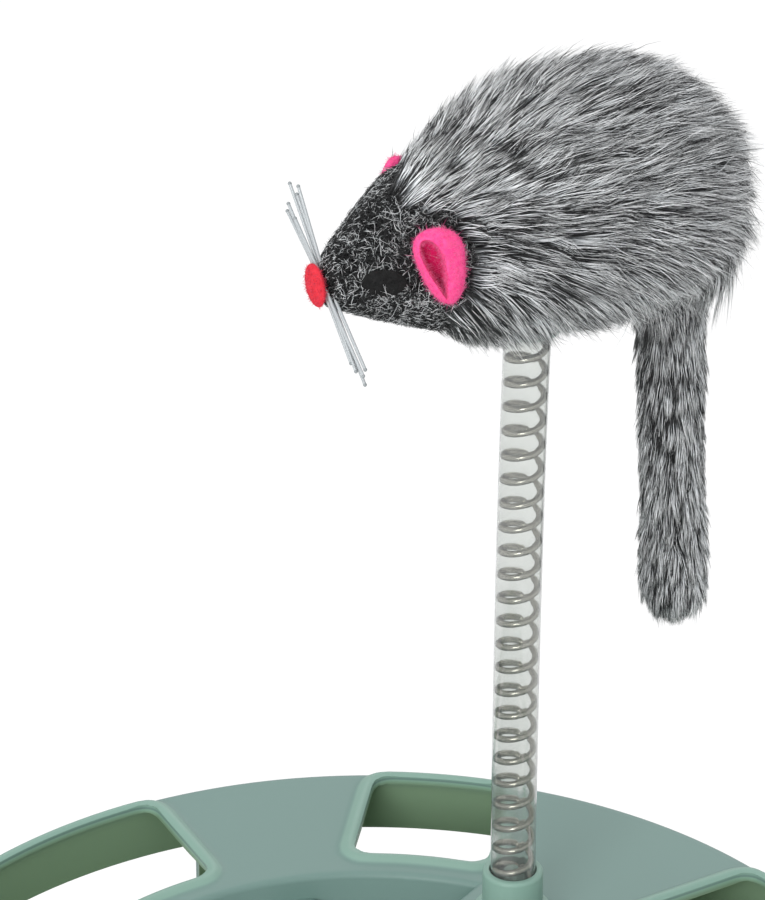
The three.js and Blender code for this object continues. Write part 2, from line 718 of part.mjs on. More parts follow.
// Each end runs on straight for one wire diameter, as the wire was cut.
const endRun = (end, before) =>
  end.clone().addScaledVector(end.clone().sub(before).normalize(), wireDiameter);
springLine.unshift(endRun(springLine[0], springLine[1]));
springLine.push(endRun(springLine[springLine.length - 1], springLine[springLine.length - 2]));
let leastGap = Infinity;
springLine.forEach((a, i) => {
  for (let j = i + COIL_STEPS - 2; j < springLine.length; j++)
    leastGap = Math.min(leastGap, a.distanceTo(springLine[j]) - wireDiameter);
});
console.log(`spring: ${curls} curls, least gap to itself ${leastGap.toFixed(2)} mm`);
add("post_spring", swept(springLine, WIRE_RADIUS, WIRE_SIDES), STEEL);

// The mouse
const mouseMatrix = new THREE.Matrix4()
  .makeRotationZ(radians(MOUSE_HEADING))
  .setPosition(MOUSE_X, postY, 0);
const inMouse = (geometry) => geometry.applyMatrix4(mouseMatrix);

// How much of its greatest half size the mouse has at a place along it, given where that size is.
function swell(forward, peak, end, sharpness) {
  const front = forward > peak;
  const share = Math.min(1, Math.abs(forward - peak) / (front ? end - peak : RUMP_END + peak));
  return (1 - share ** 2) ** (front ? sharpness : REAR_SHARPNESS);
}
function mouseRing(forward) {
  const rise = BACK_RISE * swell(forward, BACK_PEAK, BACK_END, BACK_SHARPNESS);
  const drop = BELLY_DROP * swell(forward, BELLY_PEAK, BELLY_END, BELLY_SHARPNESS);
  const half = HALF_WIDTH * swell(forward, WIDTH_PEAK, WIDTH_END, WIDTH_SHARPNESS);
  return Array.from({ length: BODY_SIDES }, (_, k) => {
    const turn = (2 * Math.PI * k) / BODY_SIDES;
    const up = Math.sin(turn);
    return new THREE.Vector3(forward, half * Math.cos(turn), MOUSE_MIDDLE + (up > 0 ? rise : drop) * up);
  });
}
const middleAt = (forward) => new THREE.Vector3(forward, 0, MOUSE_MIDDLE);
// Rings are closer together near the rounded end.
const eased = (share) => Math.sin(share * Math.PI * HALF);
const bodyFront = NECK - GAP * HALF;
const bodyRings = Array.from({ length: BODY_RINGS }, (_, i) =>
  mouseRing(bodyFront - (bodyFront + RUMP_END) * eased(i / BODY_RINGS)),
).reverse();
const socketPocket = rod(SOCKET_RADIUS + GAP, BELLY - BELLY_DROP * HALF, SOCKET_TOP + GAP, ROUND_STEPS);
const tailRoot = (radius) =>
  solid(
    inMouse(
      new THREE.SphereGeometry(radius, ROUND_SIDES, ROUND_RINGS).translate(TAIL_BACK, 0, TAIL_PIVOT),
    ),
  );
const tailPocket = tailRoot(TAIL_ROOT_RADIUS + TAIL_POCKET_ROOM).add(
  solid(
    inMouse(
      new THREE.CylinderGeometry(TAIL_ROOT_RADIUS * HALF, TAIL_POCKET_RADIUS, TAIL_SHOULDER, ROUND_SIDES)
        .rotateX(Math.PI * HALF)
        .translate(TAIL_BACK, 0, TAIL_PIVOT - TAIL_SHOULDER * HALF),
    ),
  ),
);
const sides = { left: 1, right: -1 };
const placedEar = (geometry, side) =>
  geometry
    .rotateY(radians(EAR_TILT))
    .rotateZ(-side * radians(EAR_TURN))
    .translate(
      side > 0 ? LEFT_EAR_FORWARD : RIGHT_EAR_FORWARD,
      side > 0 ? LEFT_EAR_OUT : -RIGHT_EAR_OUT,
      MOUSE_MIDDLE + (side > 0 ? LEFT_EAR_RISE : RIGHT_EAR_RISE),
    );
const ear = (side, grown) =>
  placedEar(ellipsoid(EAR_HALF_WIDTH + grown, EAR_HALF_THICKNESS + grown, EAR_HALF_LENGTH + grown), side);
const earHollow = (side) =>
  placedEar(
    ellipsoid(EAR_HALF_WIDTH - EAR_WALL, EAR_HALF_THICKNESS, EAR_HALF_LENGTH - EAR_WALL).translate(
      0,
      side * EAR_HOLLOW_OUT,
      0,
    ),
    side,
  );
const mouseBody = cut(solid(inMouse(stacked(bodyRings, middleAt(-RUMP_END), middleAt(bodyFront)))), [
  socketPocket,
  tailPocket,
  ...Object.values(sides).map((side) => solid(inMouse(ear(side, GAP)))),
]);
add("mouse_body", mouseBody, PLUSH);

const socket = cut(rod(SOCKET_RADIUS, BELLY, SOCKET_TOP, ROUND_STEPS), [
  rod(TUBE_RADIUS + GAP, BELLY - WALL, SOCKET_BORE_TOP, ROUND_STEPS),
]).add(rod(SPIGOT_RADIUS, SOCKET_SPIGOT_BOTTOM, SOCKET_BORE_TOP + GAP, SCREW_STEPS));
add("mouse_socket", socket, SAGE);

const headBack = NECK + GAP * HALF;
const headRings = Array.from({ length: HEAD_RINGS }, (_, i) =>
  mouseRing(headBack + (SNOUT_RING - headBack) * eased(i / (HEAD_RINGS - 1))),
);
const nose = (grown) =>
  ellipsoid(NOSE_HALF_THICKNESS + grown, NOSE_HALF_WIDTH + grown, NOSE_HALF_HEIGHT + grown)
    .rotateX(radians(NOSE_TILT))
    .translate(NOSE_FORWARD, 0, noseHeight);
const eye = (side, grown) =>
  ellipsoid(EYE_HALF_LENGTH + grown, EYE_HALF_THICKNESS + grown, EYE_HALF_HEIGHT + grown)
    .rotateZ(-side * radians(EYE_TURN))
    .translate(EYE_FORWARD, side * EYE_OUT, MOUSE_MIDDLE + EYE_RISE);
const whiskerWay = (length, across, forward) =>
  new THREE.Vector3(WHISKER_FORWARD + forward, across, -length)
    .applyAxisAngle(new THREE.Vector3(1, 0, 0), radians(WHISKER_TILT))
    .add(new THREE.Vector3(0, 0, noseHeight - WHISKER_DROP));
const slotSize = (count) => WHISKER_SPACING * (count - 1) + WHISKER_RADIUS * 2 + WHISKER_SLOT_MARGIN;
const slotSizes = [slotSize(WHISKER_ROWS), slotSize(WHISKERS_PER_ROW), WHISKER_HALF_LENGTH * 2];
const whiskerSlot = new THREE.BoxGeometry(...slotSizes)
  .translate(WHISKER_FORWARD, 0, 0)
  .rotateX(radians(WHISKER_TILT))
  .translate(0, 0, noseHeight - WHISKER_DROP);
const head = cut(solid(inMouse(stacked(headRings, middleAt(headBack), middleAt(HEAD_END)))), [
  solid(inMouse(nose(GAP))),
  solid(inMouse(whiskerSlot)),
  ...Object.values(sides).flatMap((side) => [
    solid(inMouse(eye(side, GAP))),
    solid(inMouse(ear(side, GAP))),
  ]),
]);
add("mouse_head", head, HEAD_PLUSH);
add("nose", inMouse(nose(0)), RED);
for (const [name, side] of Object.entries(sides)) {
  add(`eye_${name}`, inMouse(eye(side, 0)), BLACK);
  add(`ear_${name}`, solid(inMouse(ear(side, 0))).subtract(solid(inMouse(earHollow(side)))), PINK);
}
for (let row = 0; row < WHISKER_ROWS; row++)
  for (let k = 0; k < WHISKERS_PER_ROW; k++) {
    const across = WHISKER_SPACING * (k - (WHISKERS_PER_ROW - 1) * HALF);
    const forward = WHISKER_SPACING * (row - (WHISKER_ROWS - 1) * HALF);
    const number = row * WHISKERS_PER_ROW + k + 1;
    const turnTaken = (number * WHISKER_LENGTH_STRIDE) % WHISKER_LENGTH_COUNT;
    const reach = WHISKER_HALF_LENGTH - WHISKER_LENGTH_STEP * turnTaken;
    const points = Array.from({ length: WHISKER_STEPS + 1 }, (_, i) => {
      const t = (2 * i) / WHISKER_STEPS - 1;
      const fan = 1 + WHISKER_SPREAD * t ** 4;
      return whiskerWay(reach * t, across * fan, forward * fan);
    });
    add(`whisker_${number}`, inMouse(swept(points, WHISKER_RADIUS, WHISKER_SIDES)), NYLON);
  }

// The tail hangs from a round root in the belly's rear, and is free to swing.
function tailRing(drop, long) {
  const shoulder = Math.min(1, Math.max(0, (drop - TAIL_ROOT_RADIUS) / (TAIL_SHOULDER - TAIL_ROOT_RADIUS)));
  const smooth = shoulder * shoulder * (3 - 2 * shoulder);
  const waist = 1 - TAIL_WAIST_SHARE * Math.sin((Math.PI * drop) / long);
  const tip = Math.max(0, (drop - (long - TAIL_ROUNDING)) / TAIL_ROUNDING);
  const round = Math.sqrt(1 - tip * tip);
  const root = Math.min(1, drop / TAIL_ROOT_RADIUS);
  const rootSize = TAIL_ROOT_RADIUS * HALF * (1 + root);
  const halfWidth = (rootSize * (1 - smooth) + TAIL_HALF_WIDTH * waist * smooth) * round;
  const halfDepth = (rootSize * (1 - smooth) + TAIL_HALF_DEPTH * waist * smooth) * round;
  return Array.from({ length: TAIL_SIDES }, (_, k) => {
    const turn = (2 * Math.PI * k) / TAIL_SIDES;
    const forward = TAIL_BACK + halfDepth * Math.sin(turn);
    return new THREE.Vector3(forward, -halfWidth * Math.cos(turn), TAIL_PIVOT - drop);
  });
}
const tailLong = TAIL_PIVOT - TAIL_TIP;
const tailRings = Array.from({ length: TAIL_RINGS }, (_, i) =>
  tailRing(tailLong * ((1 - Math.cos((Math.PI * (i + 1)) / (TAIL_RINGS + 1))) * HALF), tailLong),
);
const tailEnd = new THREE.Vector3(TAIL_BACK, 0, TAIL_TIP);
const tailHead = new THREE.Vector3(TAIL_BACK, 0, TAIL_PIVOT);
const tail = solid(inMouse(stacked(tailRings, tailHead, tailEnd))).add(
  tailRoot(TAIL_ROOT_RADIUS),
);
add("mouse_tail", tail, PLUSH);

// The ball, of two shells that meet across its rolling axis, and the bell that lies inside it
const ballPlace = polar(trackMiddle, BALL_ANGLE);
const ballCentre = trayFloor + GAP + BALL_RADIUS;
function shellOutline(radius, wall, from) {
  const steps = BALL_RINGS;
  const outer = [];
  const inner = [];
  for (let i = 0; i <= steps; i++) {
    const low = Math.asin(from / radius);
    const angle = low + ((Math.PI * HALF - low) * i) / steps;
    outer.push([i === steps ? 0 : radius * Math.cos(angle), radius * Math.sin(angle)]);
    const lowInner = Math.asin(from / (radius - wall));
    const innerAngle = lowInner + ((Math.PI * HALF - lowInner) * i) / steps;
    inner.push([
      i === steps ? 0 : (radius - wall) * Math.cos(innerAngle),
      (radius - wall) * Math.sin(innerAngle),
    ]);
  }
  return [...outer, ...inner.reverse()];
}
for (const [name, side] of [["inner", -1], ["outer", 1]]) {
  const half = geometryOf(turned(shellOutline(BALL_RADIUS, BALL_WALL, GAP * HALF), BALL_STEPS));
  half.rotateX(-side * Math.PI * HALF).rotateZ(-radians(BALL_ANGLE));
  add(`ball_${name}_half`, half.translate(ballPlace.x, ballPlace.y, ballCentre), IVORY);
}
const bellShell = solid(new THREE.SphereGeometry(BELL_RADIUS, BELL_STEPS, BELL_STEPS * HALF)).subtract(
  solid(new THREE.SphereGeometry(BELL_RADIUS - BELL_WALL, BELL_STEPS, BELL_STEPS * HALF)),
);
const bell = bellShell.subtract(
  solid(new THREE.BoxGeometry(BELL_RADIUS * 2, BELL_SLOT, BELL_RADIUS).translate(0, 0, BELL_RADIUS * HALF)),
);
const bellHeight = ballCentre - BALL_RADIUS + BALL_WALL + GAP + BELL_RADIUS;
add("ball_bell", geometryOf(bell).translate(ballPlace.x, ballPlace.y, bellHeight), BRASS);

export default group;
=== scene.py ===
# Dresses the cat track toy: a moulded ring with windows, a clear sprung post and a plush mouse.
# Lengths are in millimetres until a piece is finished, and Blender's objects are in metres.
import math

import bmesh
import bpy
import numpy as np
from mathutils import Matrix, Vector
from mathutils.kdtree import KDTree


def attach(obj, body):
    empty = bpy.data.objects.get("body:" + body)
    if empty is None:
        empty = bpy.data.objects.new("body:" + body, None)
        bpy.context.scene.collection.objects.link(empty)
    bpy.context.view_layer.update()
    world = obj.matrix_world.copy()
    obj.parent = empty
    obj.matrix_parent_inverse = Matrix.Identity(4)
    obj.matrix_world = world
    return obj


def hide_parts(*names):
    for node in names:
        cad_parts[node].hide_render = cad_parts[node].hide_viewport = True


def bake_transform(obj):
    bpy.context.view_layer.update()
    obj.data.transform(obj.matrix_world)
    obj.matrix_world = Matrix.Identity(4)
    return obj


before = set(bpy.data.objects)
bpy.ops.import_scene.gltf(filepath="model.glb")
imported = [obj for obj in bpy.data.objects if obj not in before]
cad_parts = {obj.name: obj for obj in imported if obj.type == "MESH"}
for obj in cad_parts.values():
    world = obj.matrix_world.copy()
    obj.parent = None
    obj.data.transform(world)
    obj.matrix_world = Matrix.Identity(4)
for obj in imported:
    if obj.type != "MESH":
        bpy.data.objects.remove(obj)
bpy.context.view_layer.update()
MM = 0.001


# Camera. The rim's arc and the post fix it: a long lens, looking 27 degrees down.
TARGET = Vector((3.5, 0, 199.5))
CAMERA_DISTANCE = 930
CAMERA_ELEVATION = math.radians(27)
CAMERA_LENS = 180


def placed(name, data):
    """A new object of some data, linked into the scene."""
    made = bpy.data.objects.new(name, data)
    bpy.context.scene.collection.objects.link(made)
    return made


def make_camera():
    camera = placed("camera", bpy.data.cameras.new("camera"))
    bpy.context.scene.camera = camera
    camera.data.lens = CAMERA_LENS
    camera.data.sensor_width = 36
    camera.data.clip_start = 0.05
    back = Vector((0, -math.cos(CAMERA_ELEVATION), math.sin(CAMERA_ELEVATION)))
    camera.location = (TARGET + back * CAMERA_DISTANCE) * MM
    camera.rotation_mode = "QUATERNION"
    camera.rotation_quaternion = (-back).to_track_quat("-Z", "Y")


make_camera()
bpy.context.scene.view_settings.view_transform = "Standard"


# Driving dimensions, the solids' own. The tube and its coil are as full as the photograph shows them.
RING_RADIUS = 120
WALL = 2.5
TRACK_INNER = 75.5
TRAY_BOTTOM = 2
TRAY_TOP = 16
GAP = 0.3
SKIRT_BOTTOM = 35.3
DECK_TOP = 50
RIM_FILLET = 3
INNER_FILLET = 1.5
CHANNEL_OUTER = RING_RADIUS - WALL
RING_INNER = TRACK_INNER - WALL
TRACK_MIDDLE = (TRACK_INNER + CHANNEL_OUTER) / 2
TRACK_FLOOR = TRAY_BOTTOM + WALL
COVER_BOTTOM = TRAY_TOP + GAP
DECK_UNDER = DECK_TOP - WALL
FLOOR_FILLET = 2
LIP_FILLET = 0.5
OVERCUT = 1  # how far a cut runs past the face that it starts at
ABOVE_ALL = 60  # a height above every part of the ring
ROOM_MARGIN = 0.4

POST_ANGLE = 33.8
WIDE_BRIDGE = 34
BRIDGE = 27.5
SMALL_WINDOW = 16
LARGE_WINDOW = (360 - WIDE_BRIDGE - 2 * SMALL_WINDOW - 4 * BRIDGE) / 3
WINDOW_INNER = 81
WINDOW_OUTER = 116.4
WINDOW_CORNER = 5
BEAD_HEIGHT = 1.25
BEAD_CREST = 1.5  # distance from a window's edge to its bead's highest line
BEAD_WIDTH = 4.4
PILLAR_INSET_ANGLE = 6
OPENING_CORNER = 3

POST = np.array([33.5, 50.0])
HOUSING_RADIUS = 17
HOUSING_REACH = 15
SERVICE_HOLE = 6.5
BOSS_RADIUS = 5.2
BOSS_CENTRE = 69.6
BOSS_TOP = 44
BOSS_FILLET = 1
SCREW_HOLE = 1.8
SCREW_HOLE_TOP = 30
SCREW_HEAD = 3.5
SCREW_SEAT = 9.9
SLEEVE_RADIUS = 8.8
SLEEVE_BOTTOM = 30
PLUG_RADIUS = 6
PLUG_BOTTOM = 29.4
COLLAR_RADIUS = 10.5
COLLAR_TOP = 53
COLLAR_FOOT = 1.2
FLANGE_RADIUS = 9
FLANGE_TOP = 56
FLANGE_FILLET = 0.8
SPIGOT_RADIUS = 2.2
SPIGOT_TOP = 66
SPIGOT_FILLET = 0.6
FERRULE_RADIUS = 7
FERRULE_TOP = 66
FERRULE_FOOT = 0.3
FERRULE_FILLET = 0.9
TUBE_RADIUS = 5.2
TUBE_BORE = 5.0
TUBE_TOP = 213.4
SEAM_ANGLE = math.radians(-72)
SEAM_HALF_ANGLE = math.radians(3.5)
SEAM_DEPTH = 0.035  # share of the radius
SPRING_TOP = 214
COIL_RADIUS = 4.2
WIRE_RADIUS = 0.75
CURLS = 25.75
LEAN = 1.4
LEAN_POWER = 2.6
BELLY = 203.5
PAD_RADIUS = 6.5
PAD_FILLET = 0.6
PAD_TOP = 2.5
PAD_SEAT = 2.8

MOUSE_SIDE = 1.1
MOUSE_ORIGIN = np.array([POST[0] + LEAN + MOUSE_SIDE, POST[1], 0.0])
MOUSE_HEADING = math.radians(217)
MOUSE_MIDDLE = 228.8
HEAD_END = 57.2
BACK_END = 70
BELLY_END = 70
WIDTH_END = 60
RUMP_END = 55.3
BACK_RISE = 32.8
BELLY_DROP = 26.8
HALF_WIDTH = 28.2
BACK_PEAK = -11.0
BELLY_PEAK = -22
WIDTH_PEAK = -17.6
BACK_SHARPNESS = 1.48
BELLY_SHARPNESS = 1.45
WIDTH_SHARPNESS = 0.85
REAR_SHARPNESS = 0.56
NECK = 36.5
BODY_INSET = 3.6
BELLY_INSET = 3.0
HEAD_INSET = 0.6
TAIL_BACK = -40
TAIL_PIVOT = 209.6
TAIL_TIP = 119
TAIL_RADIUS = 6.4
TAIL_DROP = 1.5  # from its pivot down to the top of its skin
TAIL_FRINGE = 4  # hair past the end of its skin

BALL_RADIUS = 20
BALL_WALL = 1.6
BALL_CENTRE = 96.5
BALL_ANGLE = 213.8

FORWARD = np.array([math.cos(MOUSE_HEADING), math.sin(MOUSE_HEADING), 0.0])
LEFT = np.array([-FORWARD[1], FORWARD[0], 0.0])
UP = np.array([0.0, 0.0, 1.0])
MOUSE_AXES = np.array([FORWARD, LEFT, UP])
chance = np.random.default_rng(7)
FULL = 1.0  # share of the strands that is grown


# Nodes and materials
def linear(hex_colour):
    channels = [int(hex_colour[i : i + 2], 16) / 255 for i in (1, 3, 5)]
    return tuple(c / 12.92 if c <= 0.04045 else ((c + 0.055) / 1.055) ** 2.4 for c in channels) + (1.0,)


def node(tree, kind, inputs=None, stops=None, **settings):
    made = tree.nodes.new(kind)
    for name, value in settings.items():
        setattr(made, name, value)
    for name, value in (inputs or {}).items():
        if isinstance(value, bpy.types.NodeSocket):
            tree.links.new(value, made.inputs[name])
        else:
            made.inputs[name].default_value = value
    for index, (place, colour) in enumerate(stops or []):
        ramp = made.color_ramp.elements
        element = ramp[index] if index < len(ramp) else ramp.new(place)
        element.position = place
        element.color = linear(colour)
    return made


def material(name, **shader):
    """A material with one Principled shader, whose sockets are given with _ for a space."""
    made = bpy.data.materials.new(name)
    made.use_nodes = True
    tree = made.node_tree
    surface = tree.nodes["Principled BSDF"]
    for key, value in shader.items():
        surface.inputs[key.replace("_", " ")].default_value = value
    return made, tree, surface


def plain(name, colour, roughness, **more):
    """A material of one colour, even all over."""
    return material(name, Base_Color=linear(colour), Roughness=roughness, **more)[0]


def eased(tree, value, low, high):
    """0 as far as low, 1 from high on and eased between them, in millimetres. high may be the lower one."""
    ends = {"Value": value, "From Min": low * MM, "From Max": high * MM}
    return node(tree, "ShaderNodeMapRange", ends, interpolation_type="SMOOTHSTEP").outputs[0]


def roughened(tree, surface, grain, detail, strength, depth):
    """A bump of noise on a surface, grain and depth in millimetres. Returns the place and the noise."""
    place = node(tree, "ShaderNodeTexCoord").outputs["Object"]
    noise = node(tree, "ShaderNodeTexNoise", {"Vector": place, "Scale": 1 / (grain * MM), "Detail": detail})
    inputs = {"Height": noise.outputs["Fac"], "Strength": strength, "Distance": depth * MM}
    tree.links.new(node(tree, "ShaderNodeBump", inputs).outputs["Normal"], surface.inputs["Normal"])
    return place, noise.outputs["Fac"]


def coloured(tree, surface, factor, first, second, blend="MIX"):
    """Gives a surface two colours, mixed by a factor."""
    inputs = {"Factor": factor, 6: first, 7: second}
    mixed = node(tree, "ShaderNodeMix", inputs, data_type="RGBA", blend_type=blend)
    tree.links.new(mixed.outputs[2], surface.inputs["Base Color"])


def moulded_sage():
    # Polypropylene, injection moulded: an even muted green with a fine eroded grain and a soft, wide shine.
    # Inside the channel, where the sky can't reach, the colour is painted: a lighter band just under the lip,
    # a painted highlight, and then greener down the wall, painted bounce light in the shade.
    # The beads that stand up from the deck are painted a shade lighter, a painted highlight.
    made, tree, surface = material("sage_polypropylene", Roughness=0.46, IOR=1.49, Specular_IOR_Level=0.4)
    place, _ = roughened(tree, surface, 0.45, 2.0, 0.12, 0.05)
    split = node(tree, "ShaderNodeSeparateXYZ", {"Vector": place}).outputs
    flat = node(tree, "ShaderNodeCombineXYZ", {"X": split["X"], "Y": split["Y"]}).outputs["Vector"]
    radius = node(tree, "ShaderNodeVectorMath", {0: flat}, operation="LENGTH").outputs["Value"]
    # How far a point lies into the channel's painted light and shade, below the deck's edge
    channel_light_and_shade = eased(tree, radius, CHANNEL_OUTER + 0.7, CHANNEL_OUTER - 0.9)
    past_inner = eased(tree, radius, TRACK_INNER - 1.5, TRACK_INNER + 0.5)
    below = eased(tree, split["Z"], DECK_TOP - 0.02, DECK_TOP - 4)
    for share in (past_inner, below):
        channel_light_and_shade = node(tree, "ShaderNodeMath", {0: channel_light_and_shade, 1: share}, operation="MULTIPLY").outputs[0]
    # Where the beads rise, for their painted highlight
    painted_bead_highlight = eased(tree, split["Z"], DECK_TOP + 0.02, DECK_TOP + 0.6)
    channel_light_and_shade_stops = [(0.0, "#708c85"), (0.02, "#86a896"), (0.12, "#80a089"), (0.3, "#758f77"), (1.0, "#809a6c")]
    painted_channel_colour = node(tree, "ShaderNodeValToRGB", {"Fac": channel_light_and_shade}, channel_light_and_shade_stops).outputs["Color"]
    coloured(tree, surface, painted_bead_highlight, painted_channel_colour, linear("#83a396"))
    return made


def pile(name, stops, roughness=0.5, shine=0.4):
    """Fibres whose colour runs from root to tip, each with its own depth of shade."""
    made, tree, surface = material(name, Roughness=roughness, Specular_IOR_Level=shine)
    along = node(tree, "ShaderNodeAttribute", attribute_name="along").outputs["Fac"]
    shade = node(tree, "ShaderNodeAttribute", attribute_name="shade").outputs["Fac"]
    dyed = node(tree, "ShaderNodeValToRGB", {"Fac": along}, stops).outputs["Color"]
    coloured(tree, surface, 1.0, dyed, shade, "MULTIPLY")
    return made


def felt(name, colour, matted_colour, fold_shade_colour):
    # Needled felt: matte, with a cloudy surface of matted fibres. Down in a fold it is painted darker,
    # painted shade where the hollow hides it from the light.
    made, tree, surface = material(
        name, Roughness=0.95, Specular_IOR_Level=0.15, Sheen_Weight=0.35, Sheen_Tint=linear(colour)
    )
    _, matted = roughened(tree, surface, 1.1, 5.0, 0.6, 0.25)
    stops = [(0.3, matted_colour), (0.7, colour)]
    dyed = node(tree, "ShaderNodeValToRGB", {"Fac": matted}, stops).outputs["Color"]
    fold_shade = node(tree, "ShaderNodeAttribute", attribute_name="fold_shade").outputs["Fac"]
    coloured(tree, surface, fold_shade, dyed, linear(fold_shade_colour))
    return made


def fuzz_fibre(name, colour):
    # Loose fibres that stand off the felt and soften its edge.
    return pile(name, [(0.0, colour), (1.0, colour)], roughness=0.8, shine=0.2)


SAGE = moulded_sage()
# Moulded rubber: dark, even and dull.
RUBBER = plain("moulded_rubber", "#3c3c3a", 0.8)
# Drawn wire: dark and smooth, so that lamps leave bright warm streaks on it. Its edge tint is near black:
# painted dark reflections along the wire's edges.
WIRE = plain("drawn_spring_steel", "#a5a299", 0.21, Metallic=1.0, Specular_Tint=linear("#14171c"))
# Zinc-plated screws and washer: bright grey metal with a soft shine.
ZINC = plain("zinc_plated_steel", "#b9bbbd", 0.32, Metallic=1.0)
# Extruded flexible PVC: clear with a faint grey cast, and slightly hazy.
PVC = plain("clear_extruded_pvc", "#eff1ef", 0.1, IOR=1.53, Transmission_Weight=0.94)
# Nylon monofilament: round, glossy and nearly clear, grey at its edges.
NYLON = plain("nylon_monofilament", "#bcc1c3", 0.3, IOR=1.53, Transmission_Weight=0.2)
# The same nylon where a hot knife cut it: a small round end that is duller and darker.
NYLON_END = plain("heat_cut_nylon_end", "#8f9496", 0.4, IOR=1.53)
# The knitted backing that the pile grows from, seen only between its fibres.
BACKING = plain("dark_knitted_backing", "#121213", 0.95, Specular_IOR_Level=0.1)
# Polypropylene, moulded smooth and glossy.
IVORY = plain("ivory_polypropylene", "#ece5d6", 0.28, IOR=1.49)
# Thin pressed brass: warm and bright.
BRASS = plain("pressed_brass", "#d1ad62", 0.25, Metallic=1.0)
# Acrylic long pile: black at the root, silver grey at the tip, with a silky shine along each hair.
SILVER = [(0.0, "#030304"), (0.16, "#0c0d0e"), (0.32, "#8b8f92"), (0.48, "#eff2f4"), (1.0, "#ffffff")]
FUR = pile("acrylic_long_pile", SILVER, roughness=0.38, shine=0.9)
# Short curled pile: each fibre is one colour, near black or off-white.
CURLS_PILE = pile("curled_short_pile", [(0.0, "#0b0b0c"), (0.4, "#c3c7c8"), (1.0, "#ffffff")])
# The last colour of each felt is its painted shade down in a fold.
PINK = felt("pink_felt", "#fd5f9e", "#ee4289", "#d01660")
RED = felt("red_felt", "#de3a47", "#c62a38", "#a01a28")
BLACK = felt("black_felt", "#262626", "#191919", "#101010")
PINK_FUZZ = fuzz_fibre("pink_felt_fibre", "#fb78ad")
RED_FUZZ = fuzz_fibre("red_felt_fibre", "#e8566c")
BLACK_FUZZ = fuzz_fibre("black_felt_fibre", "#252525")


# Shapes
def as_mesh(name, work):
    mesh = bpy.data.meshes.new(name)
    work.to_mesh(mesh)
    work.free()
    return mesh


def finished(name, work, look, body, replaced=(), smooth=35):
    """Makes an object of a bmesh in millimetres, in its place, riding on its body."""
    bmesh.ops.scale(work, vec=(MM, MM, MM), verts=work.verts[:])
    mesh = as_mesh(name, work)
    mesh.materials.append(look)
    if smooth:
        mesh.shade_smooth()
        mesh.set_sharp_from_angle(angle=math.radians(smooth))
    made = placed(name, mesh)
    if body:
        dress(made, body, replaced)
    return made


def dress(piece, body, replaced=()):
    if body:
        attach(piece, body)
    if replaced:
        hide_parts(*replaced)


def sealed(work, reach=1e-3):
    """Joins points that lie together and turns every face outward."""
    bmesh.ops.remove_doubles(work, verts=work.verts[:], dist=reach)
    bmesh.ops.recalc_face_normals(work, faces=work.faces[:])
    return work


def moved(work, places):
    for vert, place in zip(work.verts, places):
        vert.co = place
    return work


def polar(radius, angle):
    return np.array([radius * math.sin(math.radians(angle)), radius * math.cos(math.radians(angle))])


def arc_points(centre, radius, start, end, steps):
    """[radius, height] points of a round stretch of an outline, angles in degrees."""
    return [
        (
            centre[0] + radius * math.cos(math.radians(start + (end - start) * i / steps)),
            centre[1] + radius * math.sin(math.radians(start + (end - start) * i / steps)),
        )
        for i in range(steps + 1)
    ]


def round_above(radius, top, fillet, steps):
    """The rounded corner of an outline, out at a radius and up at a top."""
    return arc_points((radius - fillet, top - fillet), fillet, 0, 90, steps)


def round_below(radius, bottom, fillet, steps):
    return arc_points((radius - fillet, bottom + fillet), fillet, 270, 360, steps)


def turned(outline, steps=48, place=(0, 0), closed=True):
    """A solid of revolution from a [radius, height] outline, about the upright line through place."""
    work = bmesh.new()
    verts = [work.verts.new((place[0] + r, place[1], z)) for r, z in outline]
    pairs = list(zip(verts, verts[1:])) + ([(verts[-1], verts[0])] if closed else [])
    edges = [work.edges.new(pair) for pair in pairs]
    bmesh.ops.spin(
        work,
        geom=verts + edges,
        cent=(place[0], place[1], 0),
        axis=(0, 0, 1),
        angle=math.tau,
        steps=steps,
        use_merge=True,
    )
    return sealed(work, 1e-4)


def rod(radius, top, place, steps=40):
    return turned([(0, 0), (radius, 0), (radius, top), (0, top)], steps, place, False)


def channel_room(inner):
    """The channel's whole space, to be cut from what is joined to the ring."""
    return turned([(inner, 0), (RING_RADIUS, 0), (RING_RADIUS, ABOVE_ALL), (inner, ABOVE_ALL)], 96)


def prism(points, low, high):
    work = bmesh.new()
    face = work.faces.new([work.verts.new((x, y, low)) for x, y in points])
    grown = bmesh.ops.extrude_face_region(work, geom=[face])
    top = [g for g in grown["geom"] if isinstance(g, bmesh.types.BMVert)]
    bmesh.ops.translate(work, verts=top, vec=(0, 0, high - low))
    bmesh.ops.recalc_face_normals(work, faces=work.faces[:])
    return work


def joined(*works):
    """One bmesh that holds several."""
    whole = bmesh.new()
    for work in works:
        mesh = as_mesh("part", work)
        whole.from_mesh(mesh)
        bpy.data.meshes.remove(mesh)
    return whole


def carved(work, cutter):
    """work with cutter taken away. Both are bmeshes in millimetres."""
    objects = [placed("part", as_mesh("part", part)) for part in (work, cutter)]
    body, tool = objects
    cut = body.modifiers.new("cut", "BOOLEAN")
    cut.operation = "DIFFERENCE"
    cut.solver = "EXACT"
    cut.object = tool
    cut.use_self = True
    evaluated = body.evaluated_get(bpy.context.evaluated_depsgraph_get())
    result = bmesh.new()
    result.from_mesh(evaluated.to_mesh())
    evaluated.to_mesh_clear()
    for made in objects:
        mesh = made.data
        bpy.data.objects.remove(made)
        bpy.data.meshes.remove(mesh)
    return result


